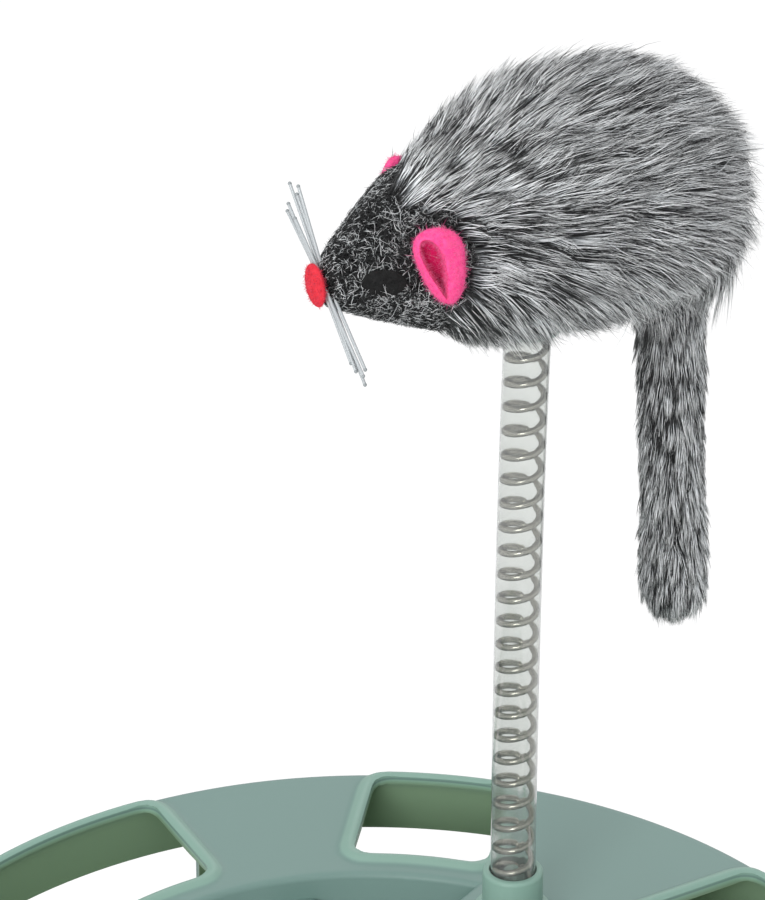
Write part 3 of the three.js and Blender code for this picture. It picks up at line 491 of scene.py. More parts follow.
# The layout of windows and bridges, clockwise from the ring's back, as seen from above
def layout():
    places = []
    start = POST_ANGLE - WIDE_BRIDGE / 2
    kinds = ["post", "small", "bridge"] + ["large", "bridge"] * 3 + ["small"]
    angles = {"post": WIDE_BRIDGE, "small": SMALL_WINDOW, "bridge": BRIDGE, "large": LARGE_WINDOW}
    for kind in kinds:
        angle = angles[kind]
        places.append({"kind": kind, "middle": start + angle / 2, "half": angle / 2})
        start += angle
    return places


PLACES = layout()
WINDOWS = [p for p in PLACES if p["kind"] in ("small", "large")]
BRIDGES = [p for p in PLACES if p["kind"] in ("post", "bridge")]
BOSSES = [polar(BOSS_CENTRE, p["middle"]) for p in PLACES if p["kind"] == "bridge"]
PADS = [polar(TRACK_MIDDLE, bridge["middle"]) for bridge in BRIDGES]


def side_angle(window, radius, margin):
    """Angle from a window's middle to its side, moved outward by a margin, at a radius."""
    if window["kind"] == "small":
        half_width = WINDOW_OUTER * math.sin(math.radians(window["half"]))
        return math.degrees(math.asin((half_width + margin) / radius))
    return window["half"] + math.degrees(math.asin(margin / radius))


def window_outline(window, margin=0.0, arc_step=1.5, corner_steps=8):
    corner = WINDOW_CORNER + margin
    points = []
    for side in (-1, 1):
        first, second = WINDOW_INNER - margin, WINDOW_OUTER + margin
        if side > 0:
            first, second = second, first
        tips = [polar(r, window["middle"] + side * side_angle(window, r, margin)) for r in (first, second)]
        along = (tips[1] - tips[0]) / np.linalg.norm(tips[1] - tips[0])
        reach = [side_angle(window, r, margin) - math.degrees(corner / r) for r in (first, second)]
        on_arc = [polar(r, window["middle"] + side * a) for r, a in zip((first, second), reach)]
        rise, fall = tips[0] + along * corner, tips[1] - along * corner
        for before, tip, after in ((on_arc[0], tips[0], rise), (fall, tips[1], on_arc[1])):
            for i in range(corner_steps + 1):
                t = i / corner_steps
                points.append(before * (1 - t) ** 2 + tip * 2 * t * (1 - t) + after * t * t)
        steps = max(2, math.ceil(2 * reach[1] / arc_step))
        for i in range(1, steps):
            angle = side * reach[1] * (1 - 2 * i / steps)
            points.append(polar(second, window["middle"] + angle))
    return np.array(points)


OUTLINES = [window_outline(window) for window in WINDOWS]


def distance_to_windows(points):
    """Distance of flat points from the nearest window's edge."""
    nearest = np.full(len(points), np.inf)
    for outline in OUTLINES:
        starts, ends = outline, np.roll(outline, -1, axis=0)
        spans = ends - starts
        lengths = np.maximum((spans**2).sum(1), 1e-9)
        for start, span, length in zip(starts, spans, lengths):
            share = np.clip(((points - start) @ span) / length, 0, 1)
            nearest = np.minimum(nearest, np.linalg.norm(points - start - share[:, None] * span, axis=1))
    return nearest


def bead(distance):
    """Height of the raised lip at a distance from the window's edge: a round crest that runs out softly."""
    crest = np.sqrt(np.clip(1 - 0.8 * ((BEAD_CREST - distance) / BEAD_CREST) ** 2, 0, 1))
    run_out = 0.5 * (1 + np.cos(np.pi * np.clip((distance - BEAD_CREST) / (BEAD_WIDTH - BEAD_CREST), 0, 1)))
    return BEAD_HEIGHT * np.where(distance < BEAD_CREST, crest, run_out)


# Rows of the deck, closer together where the beads stand, of the walls, and steps from a window's side
DECK_ROWS = [75.6, 76.6, 77.4, 78.1, 78.8, 79.5, 80.1, 80.6, 81, 81.5, 83, 86, 90, 95, 101, 107, 112]
DECK_ROWS += [114.8, 115.8, 116.4]
WALL_ROWS = (30, 42)
PILLAR_ROW = 27
UNDER_ROWS = (112, 96)
SIDE_STEPS = [-3, -1.2, -0.4, 0, 0.5, 1, 1.5, 2.1, 2.7, 3.4, 4.1, 5]
COARSE_ANGLE = 2.2


def deck_lines():
    """Functions of the radius that give the angle of each line across the ring."""

    def side(window, sign, margin, turn=0):
        return lambda radius: window["middle"] + sign * side_angle(window, radius, margin) + turn

    def between(low, high, share):
        return lambda radius: low(radius) * (1 - share) + high(radius) * share

    def filled(low, high, place):
        count = max(2, round(2 * place["half"] / COARSE_ANGLE))
        return [between(low, high, (i + 1) / (count + 1)) for i in range(count)]

    whole = []
    for number, window in enumerate(WINDOWS, 1):
        after = number % len(WINDOWS)
        left = [side(window, -1, margin) for margin in reversed(SIDE_STEPS)]
        right = [side(window, 1, margin) for margin in SIDE_STEPS]
        next_left = side(WINDOWS[after], -1, SIDE_STEPS[-1], 0 if after else 360)
        whole += left + filled(left[-1], right[0], window) + right
        whole += filled(right[-1], next_left, BRIDGES[after])
    return whole


def cover_shell():
    """The cover's ring before its windows are cut: a closed section carried round on the lines above."""
    section = (
        [(RING_INNER, z) for z in (COVER_BOTTOM, *WALL_ROWS)]
        + arc_points((RING_INNER + INNER_FILLET, DECK_TOP - INNER_FILLET), INNER_FILLET, 180, 90, 5)
        + [(r, DECK_TOP) for r in DECK_ROWS]
        + arc_points((RING_RADIUS - RIM_FILLET, DECK_TOP - RIM_FILLET), RIM_FILLET, 90, 0, 9)
        + [(RING_RADIUS, z) for z in (SKIRT_BOTTOM, PILLAR_ROW, COVER_BOTTOM)]
        + [(CHANNEL_OUTER, z) for z in (COVER_BOTTOM, PILLAR_ROW, SKIRT_BOTTOM, DECK_UNDER)]
        + [(r, DECK_UNDER) for r in (*UNDER_ROWS, WINDOW_INNER, TRACK_INNER)]
        + [(TRACK_INNER, z) for z in (WALL_ROWS[0], COVER_BOTTOM)]
    )
    lines = deck_lines()
    work = bmesh.new()
    bmesh.ops.create_grid(work, x_segments=len(section), y_segments=len(lines), size=1)
    places = np.zeros((len(work.verts), 3))
    for index, vert in enumerate(work.verts):
        row = round((vert.co.x + 1) / 2 * len(section)) % len(section)
        line = round((vert.co.y + 1) / 2 * len(lines)) % len(lines)
        radius, height = section[row]
        x, y = polar(radius, lines[line](radius))
        places[index] = (x, y, height)
    upper = places[:, 2] > DECK_TOP - RIM_FILLET - 0.01
    shown = upper & (np.hypot(places[:, 0], places[:, 1]) > TRACK_INNER)
    rise = bead(distance_to_windows(places[shown][:, :2]))
    radii = np.hypot(places[shown][:, 0], places[shown][:, 1])
    steepness = np.clip((RING_RADIUS - radii) / 0.9, 0, 1)  # the lip fades into the outer wall
    places[shown, 2] += rise * np.sqrt(steepness)
    return sealed(moved(work, places))


def sector(inner, outer, start, end, step=1.5):
    count = max(2, math.ceil((end - start) / step))
    run = [start + (end - start) * i / count for i in range(count + 1)]
    return [polar(inner, angle) for angle in run] + [polar(outer, angle) for angle in reversed(run)]


def side_opening(window):
    """What is cut from the outer wall under a window: square below, with round upper corners."""
    start = window["middle"] - window["half"] - PILLAR_INSET_ANGLE
    end = window["middle"] + window["half"] + PILLAR_INSET_ANGLE
    inner, outer = CHANNEL_OUTER - WALL, RING_RADIUS + WALL
    work = prism(sector(inner, outer, start, end), COVER_BOTTOM - OVERCUT, SKIRT_BOTTOM)
    corners = []
    for edge in work.edges:
        a, b = (v.co for v in edge.verts)
        if abs(a.z - SKIRT_BOTTOM) < 0.01 and abs(b.z - SKIRT_BOTTOM) < 0.01:
            if abs(math.hypot(a.x, a.y) - math.hypot(b.x, b.y)) > WALL:
                corners.append(edge)
    return bevelled(work, corners, OPENING_CORNER, 5)


def housing_outline(radius, steps=24):
    out = polar(1, POST_ANGLE)
    right = np.array([out[1], -out[0]])
    points = [
        POST + right * radius * math.cos(math.pi * i / steps) - out * radius * math.sin(math.pi * i / steps)
        for i in range(steps + 1)
    ]
    return points + [POST + right * side * radius + out * HOUSING_REACH for side in (-1, 1)]


def bevelled(work, edges, radius, segments):
    bmesh.ops.bevel(
        work, geom=edges, offset=radius, segments=segments, profile=0.5, affect="EDGES", material=-1
    )
    return work


def trimmed_bosses(outline):
    """A screw boss inside each narrow bridge, cut where it reaches into the channel."""
    bosses = [turned(outline, 32, place) for place in BOSSES]
    return carved(joined(*bosses), channel_room(TRACK_INNER - ROOM_MARGIN))


def make_cover():
    cutters = [prism(outline, DECK_UNDER - OVERCUT, DECK_TOP + BEAD_HEIGHT + OVERCUT) for outline in OUTLINES]
    cutters += [side_opening(window) for window in WINDOWS]
    shell = carved(cover_shell(), joined(*cutters))
    bore = PLUG_RADIUS + GAP
    housing = prism(housing_outline(HOUSING_RADIUS), COVER_BOTTOM, DECK_TOP)
    top_edges = [e for e in housing.edges if all(abs(v.co.z - DECK_TOP) < 1e-3 for v in e.verts)]
    hollow = joined(
        prism(housing_outline(HOUSING_RADIUS - WALL), COVER_BOTTOM - OVERCUT, DECK_UNDER),
        channel_room(TRACK_INNER),
        rod(bore, ABOVE_ALL, POST, 48),
    )
    housing = carved(bevelled(housing, top_edges, INNER_FILLET, 4), hollow)
    foot = COLLAR_RADIUS + COLLAR_FOOT
    collar = turned(
        [(bore, SLEEVE_BOTTOM), (SLEEVE_RADIUS, SLEEVE_BOTTOM), (SLEEVE_RADIUS, DECK_UNDER)]
        + [(foot, DECK_UNDER)]
        + arc_points((foot, DECK_TOP + COLLAR_FOOT), COLLAR_FOOT, 270, 180, 4)
        + round_above(COLLAR_RADIUS, COLLAR_TOP, FLANGE_FILLET, 4)
        + [(bore, COLLAR_TOP)],
        64,
        POST,
    )
    bosses = trimmed_bosses(
        [(SCREW_HOLE, COVER_BOTTOM), (BOSS_RADIUS, COVER_BOTTOM)]
        + round_above(BOSS_RADIUS, BOSS_TOP, BOSS_FILLET, 3)
        + [(0, BOSS_TOP), (0, SCREW_HOLE_TOP), (SCREW_HOLE, SCREW_HOLE_TOP)]
    )
    cover = joined(shell, housing, collar, bosses)
    finished("cover", cover, SAGE, "base", ["track_cover"], smooth=32)


def make_tray():
    ring = turned(
        [(RING_INNER, TRAY_BOTTOM)]
        + round_below(RING_RADIUS, TRAY_BOTTOM, FLOOR_FILLET, 5)
        + round_above(RING_RADIUS, TRAY_TOP, LIP_FILLET, 3)
        + [(CHANNEL_OUTER, TRAY_TOP)]
        + arc_points((CHANNEL_OUTER - FLOOR_FILLET, TRACK_FLOOR + FLOOR_FILLET), FLOOR_FILLET, 0, -90, 5)
        + arc_points((TRACK_INNER + FLOOR_FILLET, TRACK_FLOOR + FLOOR_FILLET), FLOOR_FILLET, 270, 180, 5)
        + [(TRACK_INNER, TRAY_TOP), (RING_INNER, TRAY_TOP)],
        240,
    )
    seats = [rod(PAD_RADIUS + GAP, PAD_SEAT, place) for place in PADS]
    ring = carved(ring, joined(*seats))
    housing = prism(housing_outline(HOUSING_RADIUS), TRAY_BOTTOM, TRAY_TOP)
    hollow = joined(
        prism(housing_outline(HOUSING_RADIUS - WALL), TRACK_FLOOR, TRAY_TOP + OVERCUT),
        channel_room(TRACK_INNER - ROOM_MARGIN),
        rod(SERVICE_HOLE, TRACK_FLOOR + OVERCUT, POST),
    )
    bosses = trimmed_bosses(
        [(SCREW_HOLE, SCREW_SEAT), (SCREW_HEAD, SCREW_SEAT), (SCREW_HEAD, TRAY_BOTTOM)]
        + [(BOSS_RADIUS, TRAY_BOTTOM), (BOSS_RADIUS, TRAY_TOP), (SCREW_HOLE, TRAY_TOP)]
    )
    tray = joined(ring, carved(housing, hollow), bosses)
    finished("tray", tray, SAGE, "base", ["track_tray"], smooth=32)


def make_pads():
    outline = [(0, 0)] + round_below(PAD_RADIUS, 0, PAD_FILLET, 3) + [(PAD_RADIUS, PAD_TOP), (0, PAD_TOP)]
    for number, place in enumerate(PADS, 1):
        pad = turned(outline, 40, place, False)
        finished(f"pad_{number}", pad, RUBBER, "base", [f"foot_pad_{number}"])


def lean(height):
    share = np.maximum(0, (np.asarray(height, float) - FERRULE_TOP) / (BELLY - FERRULE_TOP))
    return np.where(share <= 1, LEAN * share**LEAN_POWER, LEAN * (1 + LEAN_POWER * (share - 1)))


def leaned(work):
    """Moves a shape that stands on the post's foot onto the post's slightly leaning line."""
    for vert in work.verts:
        vert.co.x += float(lean(vert.co.z))
    return work


def bend_with_post(piece, replaced):
    dress(piece, None, replaced)
    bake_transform(piece)


def make_post():
    shoulder = COLLAR_TOP + GAP
    plug = turned(
        [(0, PLUG_BOTTOM), (PLUG_RADIUS, PLUG_BOTTOM), (PLUG_RADIUS, shoulder), (FLANGE_RADIUS, shoulder)]
        + round_above(FLANGE_RADIUS, FLANGE_TOP, FLANGE_FILLET, 4)
        + [(SPIGOT_RADIUS, FLANGE_TOP)]
        + round_above(SPIGOT_RADIUS, SPIGOT_TOP, SPIGOT_FILLET, 3)
        + [(0, SPIGOT_TOP)],
        56,
        POST,
        False,
    )
    finished("plug", plug, SAGE, "post_foot", ["post_plug"])
    bottom = FLANGE_TOP + GAP
    bore = TUBE_RADIUS + GAP
    ferrule = turned(
        [(bore, bottom)]
        + round_below(FERRULE_RADIUS, bottom, FERRULE_FOOT, 2)
        + round_above(FERRULE_RADIUS, FERRULE_TOP, FERRULE_FILLET, 5)
        + [(bore, FERRULE_TOP)],
        56,
        POST,
    )
    finished("ferrule", ferrule, SAGE, "post_foot", ["post_ferrule"])
    heights = np.linspace(bottom, TUBE_TOP, 64)
    tube = turned(
        [(TUBE_RADIUS, z) for z in heights] + [(TUBE_BORE, z) for z in reversed(heights)], 56, POST
    )
    for vert in tube.verts:  # the die leaves one faint line along the bore
        x, y = vert.co.x - POST[0], vert.co.y - POST[1]
        at_seam = abs(math.atan2(y, x) - SEAM_ANGLE) < SEAM_HALF_ANGLE
        if at_seam and math.hypot(x, y) < (TUBE_RADIUS + TUBE_BORE) / 2:
            vert.co.x -= x * SEAM_DEPTH
            vert.co.y -= y * SEAM_DEPTH
    bend_with_post(finished("tube", leaned(tube), PVC, None), ["post_tube"])
    low, high = bottom + 3 * WIRE_RADIUS, SPRING_TOP - GAP - 3 * WIRE_RADIUS
    steps = 24
    places = []
    for i in range(int(CURLS * steps) + 1):
        height = low + (high - low) * i / (CURLS * steps)
        turn = math.tau * (i / steps + 0.25)
        x = POST[0] + float(lean(height)) + COIL_RADIUS * math.cos(turn)
        places.append((x, POST[1] + COIL_RADIUS * math.sin(turn), height))
    bend_with_post(wound("spring", places, WIRE_RADIUS, WIRE, 3), ["post_spring"])


def wound(name, places, radius, look, resolution):
    """A round wire through places, made of a curve and kept as a mesh."""
    curve = bpy.data.curves.new(name, "CURVE")
    curve.dimensions = "3D"
    line = curve.splines.new("POLY")
    line.points.add(len(places) - 1)
    for point, place in zip(line.points, places):
        point.co = (*place, 1)
    curve.bevel_depth = radius
    curve.bevel_resolution = resolution
    curve.use_fill_caps = True
    shown = placed(name, curve)
    evaluated = shown.evaluated_get(bpy.context.evaluated_depsgraph_get())
    mesh = bpy.data.meshes.new_from_object(evaluated)
    bpy.data.objects.remove(shown)
    bpy.data.curves.remove(curve)
    work = bmesh.new()
    work.from_mesh(mesh)
    bpy.data.meshes.remove(mesh)
    return finished(name, sealed(work, 1e-4), look, None, smooth=50)


# The mouse's form
def swell(forward, peak, end, sharpness, inset):
    front = forward > peak
    reach = np.where(front, end - inset - peak, RUMP_END - inset + peak)
    share = np.clip(np.abs(forward - peak) / reach, 0, 1)
    return (1 - share**2) ** np.where(front, sharpness, REAR_SHARPNESS)


def mouse_form(forward, turn, inset, belly_inset):
    """Points of the mouse's form at places along it and turns round it, drawn in by an inset."""
    up = np.sin(turn)
    rise = (BACK_RISE - inset) * swell(forward, BACK_PEAK, BACK_END, BACK_SHARPNESS, inset)
    drop = (BELLY_DROP - belly_inset) * swell(forward, BELLY_PEAK, BELLY_END, BELLY_SHARPNESS, inset)
    half = (HALF_WIDTH - inset) * swell(forward, WIDTH_PEAK, WIDTH_END, WIDTH_SHARPNESS, inset)
    height = MOUSE_MIDDLE + np.where(up > 0, rise, drop) * up
    local = np.stack([forward, half * np.cos(turn), height], -1)
    return MOUSE_ORIGIN + local @ MOUSE_AXES


def in_mouse(points):
    return (points - MOUSE_ORIGIN) @ MOUSE_AXES.T


def form_piece(name, ends, closing, insets, replaced):
    """A closed skin over the mouse's form between two ends, rounded off over a length at each of them."""
    work = bmesh.new()
    bmesh.ops.create_uvsphere(work, u_segments=72, v_segments=56, radius=1)
    co = np.array([v.co for v in work.verts])
    share = (np.degrees(np.arcsin(np.clip(co[:, 2], -1, 1))) / 90 + 1) / 2
    forward = ends[0] + (ends[1] - ends[0]) * ((1 - np.cos(np.pi * share)) / 2)
    turn = np.arctan2(co[:, 1], co[:, 0])
    places = mouse_form(forward, turn, *insets)
    middle = MOUSE_ORIGIN + np.outer(forward, FORWARD) + MOUSE_MIDDLE * UP
    behind = 1 - (forward - ends[0]) / closing[0]
    ahead = 1 - (ends[1] - forward) / closing[1]
    end = np.clip(np.maximum(behind, ahead), 0, 1)
    places = middle + (places - middle) * np.sqrt(1 - end**2)[:, None]
    skin = finished(name, sealed(moved(work, places)), BACKING, "mouse", replaced, smooth=0)
    return skin


# Strands
def strand_shape(rings, sides=3):
    """One strand: points across it and along it from 0 to 1, and its faces."""
    work = bmesh.new()
    bmesh.ops.create_cone(work, cap_ends=True, segments=sides, radius1=1, radius2=0, depth=1)
    bmesh.ops.translate(work, verts=work.verts[:], vec=(0, 0, 0.5))
    for ring in range(1, rings):
        whole = work.verts[:] + work.edges[:] + work.faces[:]
        bmesh.ops.bisect_plane(work, geom=whole, plane_co=(0, 0, ring / rings), plane_no=(0, 0, 1))
    bmesh.ops.triangulate(work, faces=work.faces[:])
    bmesh.ops.recalc_face_normals(work, faces=work.faces[:])
    work.verts.index_update()
    shape = np.array([v.co for v in work.verts])
    faces = np.array([[v.index for v in f.verts] for f in work.faces])
    work.free()
    along = shape[:, 2]
    full = np.where(along < 0.999, (1 - along**1.7) / np.maximum(1 - along, 1e-6), 0)
    shape[:, :2] *= full[:, None]  # it keeps its girth, then comes to a point
    return shape, faces


STRAND = strand_shape(3)
CURL = strand_shape(4)


def read(items, name, width, kind=float):
    """A property of a mesh's items, as rows of numbers."""
    flat = np.empty(len(items) * width, kind)
    items.foreach_get(name, flat)
    return flat.reshape(-1, width)


def scatter(piece, count):
    """Even random places on a piece's surface, with the surface's smooth normals. In millimetres."""
    mesh = piece.data
    mesh.calc_loop_triangles()
    corners = read(mesh.loop_triangles, "vertices", 3, int)
    # A weld can list a skin's faces in another order each time, so its triangles are put in one order
    turn = corners.argmin(axis=1)[:, None] + np.arange(3)
    corners = np.take_along_axis(corners, turn % 3, axis=1)
    corners = corners[np.lexsort(corners.T)]
    co = read(mesh.vertices, "co", 3) / MM
    normals = read(mesh.vertices, "normal", 3)
    a, b, c = (co[corners[:, i]] for i in range(3))
    areas = np.linalg.norm(np.cross(b - a, c - a), axis=1)
    chosen = chance.choice(len(areas), int(count), p=areas / areas.sum())
    s, t = chance.random(int(count)), chance.random(int(count))
    over = s + t > 1
    s[over], t[over] = 1 - s[over], 1 - t[over]
    weights = np.stack([1 - s - t, s, t], 1)
    places = sum(weights[:, i, None] * co[corners[chosen, i]] for i in range(3))
    facing = sum(weights[:, i, None] * normals[corners[chosen, i]] for i in range(3))
    return places, unit(facing)


def unit(vectors):
    return vectors / np.maximum(np.linalg.norm(vectors, axis=-1, keepdims=True), 1e-9)


def grow(name, shape, roots, start, bend, radius, shade, tip, look, body, per_piece=11000):
    """Strands that run along start from their roots, bent by bend. tip is the along value at their end."""
    points, faces = shape
    along = points[:, 2]
    for number, first in enumerate(range(0, len(roots), per_piece), 1):
        part = slice(first, first + per_piece)
        base, run, curve = roots[part], start[part], bend[part]
        count = len(base)
        other = unit(np.cross(run, chance.normal(size=(count, 3))))
        third = unit(np.cross(run, other))
        girth = radius[part][:, None, None]
        places = (
            base[:, None]
            + run[:, None] * along[None, :, None]
            + curve[:, None] * (along**2)[None, :, None]
            + other[:, None] * points[None, :, 0, None] * girth
            + third[:, None] * points[None, :, 1, None] * girth
        )
        corners = faces[None] + (np.arange(count) * len(points))[:, None, None]
        mesh = bpy.data.meshes.new(f"{name}_{number}")
        mesh.vertices.add(count * len(points))
        mesh.vertices.foreach_set("co", (places * MM).ravel())
        triangles = count * len(faces)
        mesh.loops.add(triangles * 3)
        mesh.loops.foreach_set("vertex_index", corners.ravel().astype(np.int32))
        mesh.polygons.add(triangles)
        mesh.polygons.foreach_set("loop_start", (np.arange(triangles) * 3).astype(np.int32))
        mesh.update(calc_edges=True)
        mesh.validate()
        told = {"along": along[None] * tip[part][:, None], "shade": np.repeat(shade[part], len(points))}
        for key, values in told.items():
            layer = mesh.attributes.new(key, "FLOAT", "POINT")
            layer.data.foreach_set("value", values.ravel().astype(np.float32))
        mesh.materials.append(look)
        dress(placed(f"{name}_{number}", mesh), body)


def clumped(roots, ends, strength, size):
    """Draws the ends of strands toward those of the nearest leader, as hair gathers in locks."""
    leaders = chance.choice(len(roots), max(1, int(len(roots) / size)), replace=False)
    tree = KDTree(len(leaders))
    for index, leader in enumerate(leaders):
        tree.insert(roots[leader], index)
    tree.balance()
    mine = np.array([leaders[tree.find(root)[1]] for root in roots])
    power = strength[mine] if isinstance(strength, np.ndarray) else strength
    return (ends[mine] - ends) * np.reshape(power, (-1, 1)), mine


def ramped(value, low, high):
    share = np.clip((value - low) / (high - low), 0, 1)
    return share * share * (3 - 2 * share)


def patches(points, size):
    """Soft random patches between 0 and 1 over points, about size across."""
    centres = points[chance.choice(len(points), max(2, int(len(points) / (6 * size**2))), replace=False)]
    levels = chance.random(len(centres))
    total = np.zeros(len(points))
    weight = np.full(len(points), 1e-9)
    for centre, level in zip(centres, levels):
        near = np.exp(-((points - centre) ** 2).sum(1) / (2 * (size / 2) ** 2))
        total += near * level
        weight += near
    return total / weight


def silver_tips(lock, dark_share, lone_share=0.36):
    """Where each hair's colour ends, from root colour to tip colour: whole locks and some hairs stay dark."""
    count = len(lock)
    dark = (chance.random(count)[lock] < dark_share) | (chance.random(count) < lone_share)
    return np.where(dark, chance.uniform(0.0, 0.18, count), chance.uniform(0.85, 1.4, count))


def along_skin(vectors, facing, share=1.0):
    """Vectors without what points out of the skin, or without a share of it."""
    return vectors - facing * (vectors * facing).sum(1, keepdims=True) * share


def rising(flow, facing, rise, length):
    """Strands of a length that lie along the flow and rise from the skin by an angle."""
    return unit(flow * np.cos(rise)[:, None] + facing * np.sin(rise)[:, None]) * length[:, None]


def fur_line(out, height):
    """How far forward the long fur reaches: it draws back behind the ears and under the chin."""
    above = height - MOUSE_MIDDLE
    behind_ear = ramped(np.abs(out), 3, 13) * np.exp(-(((above - 7) / 8.5) ** 2))
    tuft = 3.5 * np.exp(-(((out - 4) / 5) ** 2)) - 5 * ramped(-out, 0, 8)
    ripple = 0.7 * np.sin(1.3 * out + 0.4 * height)
    return NECK + 0.8 - 5.6 * behind_ear - 8 * ramped(-above, 4, 15) + tuft * ramped(above, 8, 15) + ripple


# The coat. Its zones are ramps between two distances in millimetres, forward or above the mouse's middle.
BODY_HAIRS = 50000
NECK_HAIRS = 20000
HEAD_HAIRS = 34000
TAIL_HAIRS = 15000
GUARD_HAIRS = 5000
STRAY_HAIRS = 70
POST_CLEARING = 7.4
GUARD_GIRTH = 0.095
STRAY_GIRTH = 0.08
LOOSE_GIRTH = 0.09


def make_mouse_body(head_skin):
    ends = (-(RUMP_END - BODY_INSET), NECK + 4)
    skin = form_piece("body_skin", ends, (0.1, 8), (BODY_INSET, BELLY_INSET), ["mouse_body"])
    roots, facing = scatter(skin, BODY_HAIRS * FULL)
    on_neck, neck_facing = scatter(head_skin, NECK_HAIRS * FULL)
    in_reach = in_mouse(on_neck)[:, 0] > NECK - 6
    of_body = in_mouse(roots)[:, 0] < NECK - 3
    roots = np.concatenate([roots[of_body], on_neck[in_reach]])
    facing = np.concatenate([facing[of_body], neck_facing[in_reach]])
    forward, out, height = in_mouse(roots).T
    on_post = np.hypot(forward, out) < POST_CLEARING
    edge = fur_line(out, height) - chance.exponential(0.9, len(roots))
    keep = (forward < edge) & ~(on_post & (height < MOUSE_MIDDLE))
    roots, facing, forward, height = roots[keep], facing[keep], forward[keep], height[keep]
    count = len(roots)
    above = height - MOUSE_MIDDLE
    low = ramped(-above, -10, 20)
    near_neck = ramped(forward, 6, NECK)
    front = ramped(forward, 10, 21)
    hanging = ramped(-forward, 26, 38) * ramped(-above, -5, 9)
    rump = ramped(-forward, 24, 50) * ramped(above, -6, 8)
    under = ramped(-above, 6, 18) * ramped(-forward, 9, 16) * (1 - hanging)
    crest = ramped(forward, -4, 16) * ramped(above, 2, 14) * (1 - 0.6 * ramped(forward, 20, 32))
    chest = ramped(forward, 20, 31) * ramped(-above, -3, 8)
    parting = ramped(forward, 15, 25) * np.exp(-(((above - 21.5) / 2.6) ** 2))
    # Which way it lies, how long it is and how far it stands up
    down = 0.02 + 1.15 * ramped(-above, -16, 20) + 0.5 * near_neck * low + 2.2 * hanging + 0.35 * rump
    want = -FORWARD - down[:, None] * UP + chance.normal(scale=0.11, size=(count, 3))
    flow = unit(along_skin(want, facing))
    length = 17.5 - 5 * near_neck - 2.5 * low * (1 - hanging) - 3.5 * under + 1.5 * hanging - 5 * rump
    length = length * chance.uniform(0.55, 1.1, count)
    rise = 0.36 + 0.16 * crest + low * (0.34 * front - 0.19 * (1 - front)) * (1 - hanging) - 0.12 * rump
    rise = rise - 0.14 * ramped(forward, 28, 33) + chance.normal(scale=0.06, size=count)
    start = rising(flow, facing, rise, length)
    bend = -facing * (length * 0.13)[:, None] - UP * (length * (0.05 + 0.2 * hanging))[:, None]
    swing = along_skin(chance.normal(scale=0.13, size=(count, 3)), facing)
    pull, leader = clumped(roots, roots + start + bend, chance.uniform(0.05, 0.5, count), 40)
    bend = bend + pull + swing[leader] * length[:, None]
    small, lock = clumped(roots, roots + start + bend, 0.55, 5)
    bend = bend + small
    # Shades
    cloud = patches(roots, 9.0)
    tone = chance.uniform(0.94, 1.2, count) * (0.97 + 0.14 * chance.random(count)[leader])
    tone = np.minimum(tone * (0.88 + 0.3 * cloud), 1.0)
    # Fewer dark hairs low down is painted light: it stands in for light bounced up from the floor onto the
    # underside.
    dark_share = (0.03 + 0.24 * (1 - cloud)) * (1 - 0.7 * low) + 0.4 * chest + 0.5 * parting
    tip = silver_tips(lock, dark_share, 0.36 + 0.2 * chest)
    girth = chance.uniform(0.1, 0.18, count)
    grow("long_fur", STRAND, roots, start, bend, girth, tone, tip, FUR, "mouse")
    # Single hairs that lie over the rest, and a few that cross it
    some = chance.choice(count, int(GUARD_HAIRS * FULL), replace=False)
    reach = length[some, None] * 1.05
    lie = unit(start[some]) + facing[some] * 0.16 + chance.normal(scale=0.1, size=(len(some), 3))
    droop = -facing[some] * reach * 0.22 - UP * reach * 0.07
    tip = np.where(chance.random(len(some)) < 0.6, 1.6, 0.12)
    same = np.ones(len(some))
    girth = GUARD_GIRTH * same
    lie = unit(lie) * reach
    grow("guard_hair", STRAND, roots[some], lie, droop, girth, same, tip, FUR, "mouse")
    some = chance.choice(count, int(STRAY_HAIRS * FULL), replace=False)
    reach = chance.uniform(9, 20, len(some))[:, None]
    across = unit(flow[some] * 0.7 + chance.normal(scale=0.6, size=(len(some), 3)))
    across = unit(along_skin(across, facing[some]) + facing[some] * 0.5) * reach
    curl = unit(chance.normal(size=(len(some), 3))) * reach * 0.3 - facing[some] * reach * 0.35
    same = np.ones(len(some))
    girth = STRAY_GIRTH * same
    grow("stray_hair", CURL, roots[some], across, curl, girth, same, same, FUR, "mouse")


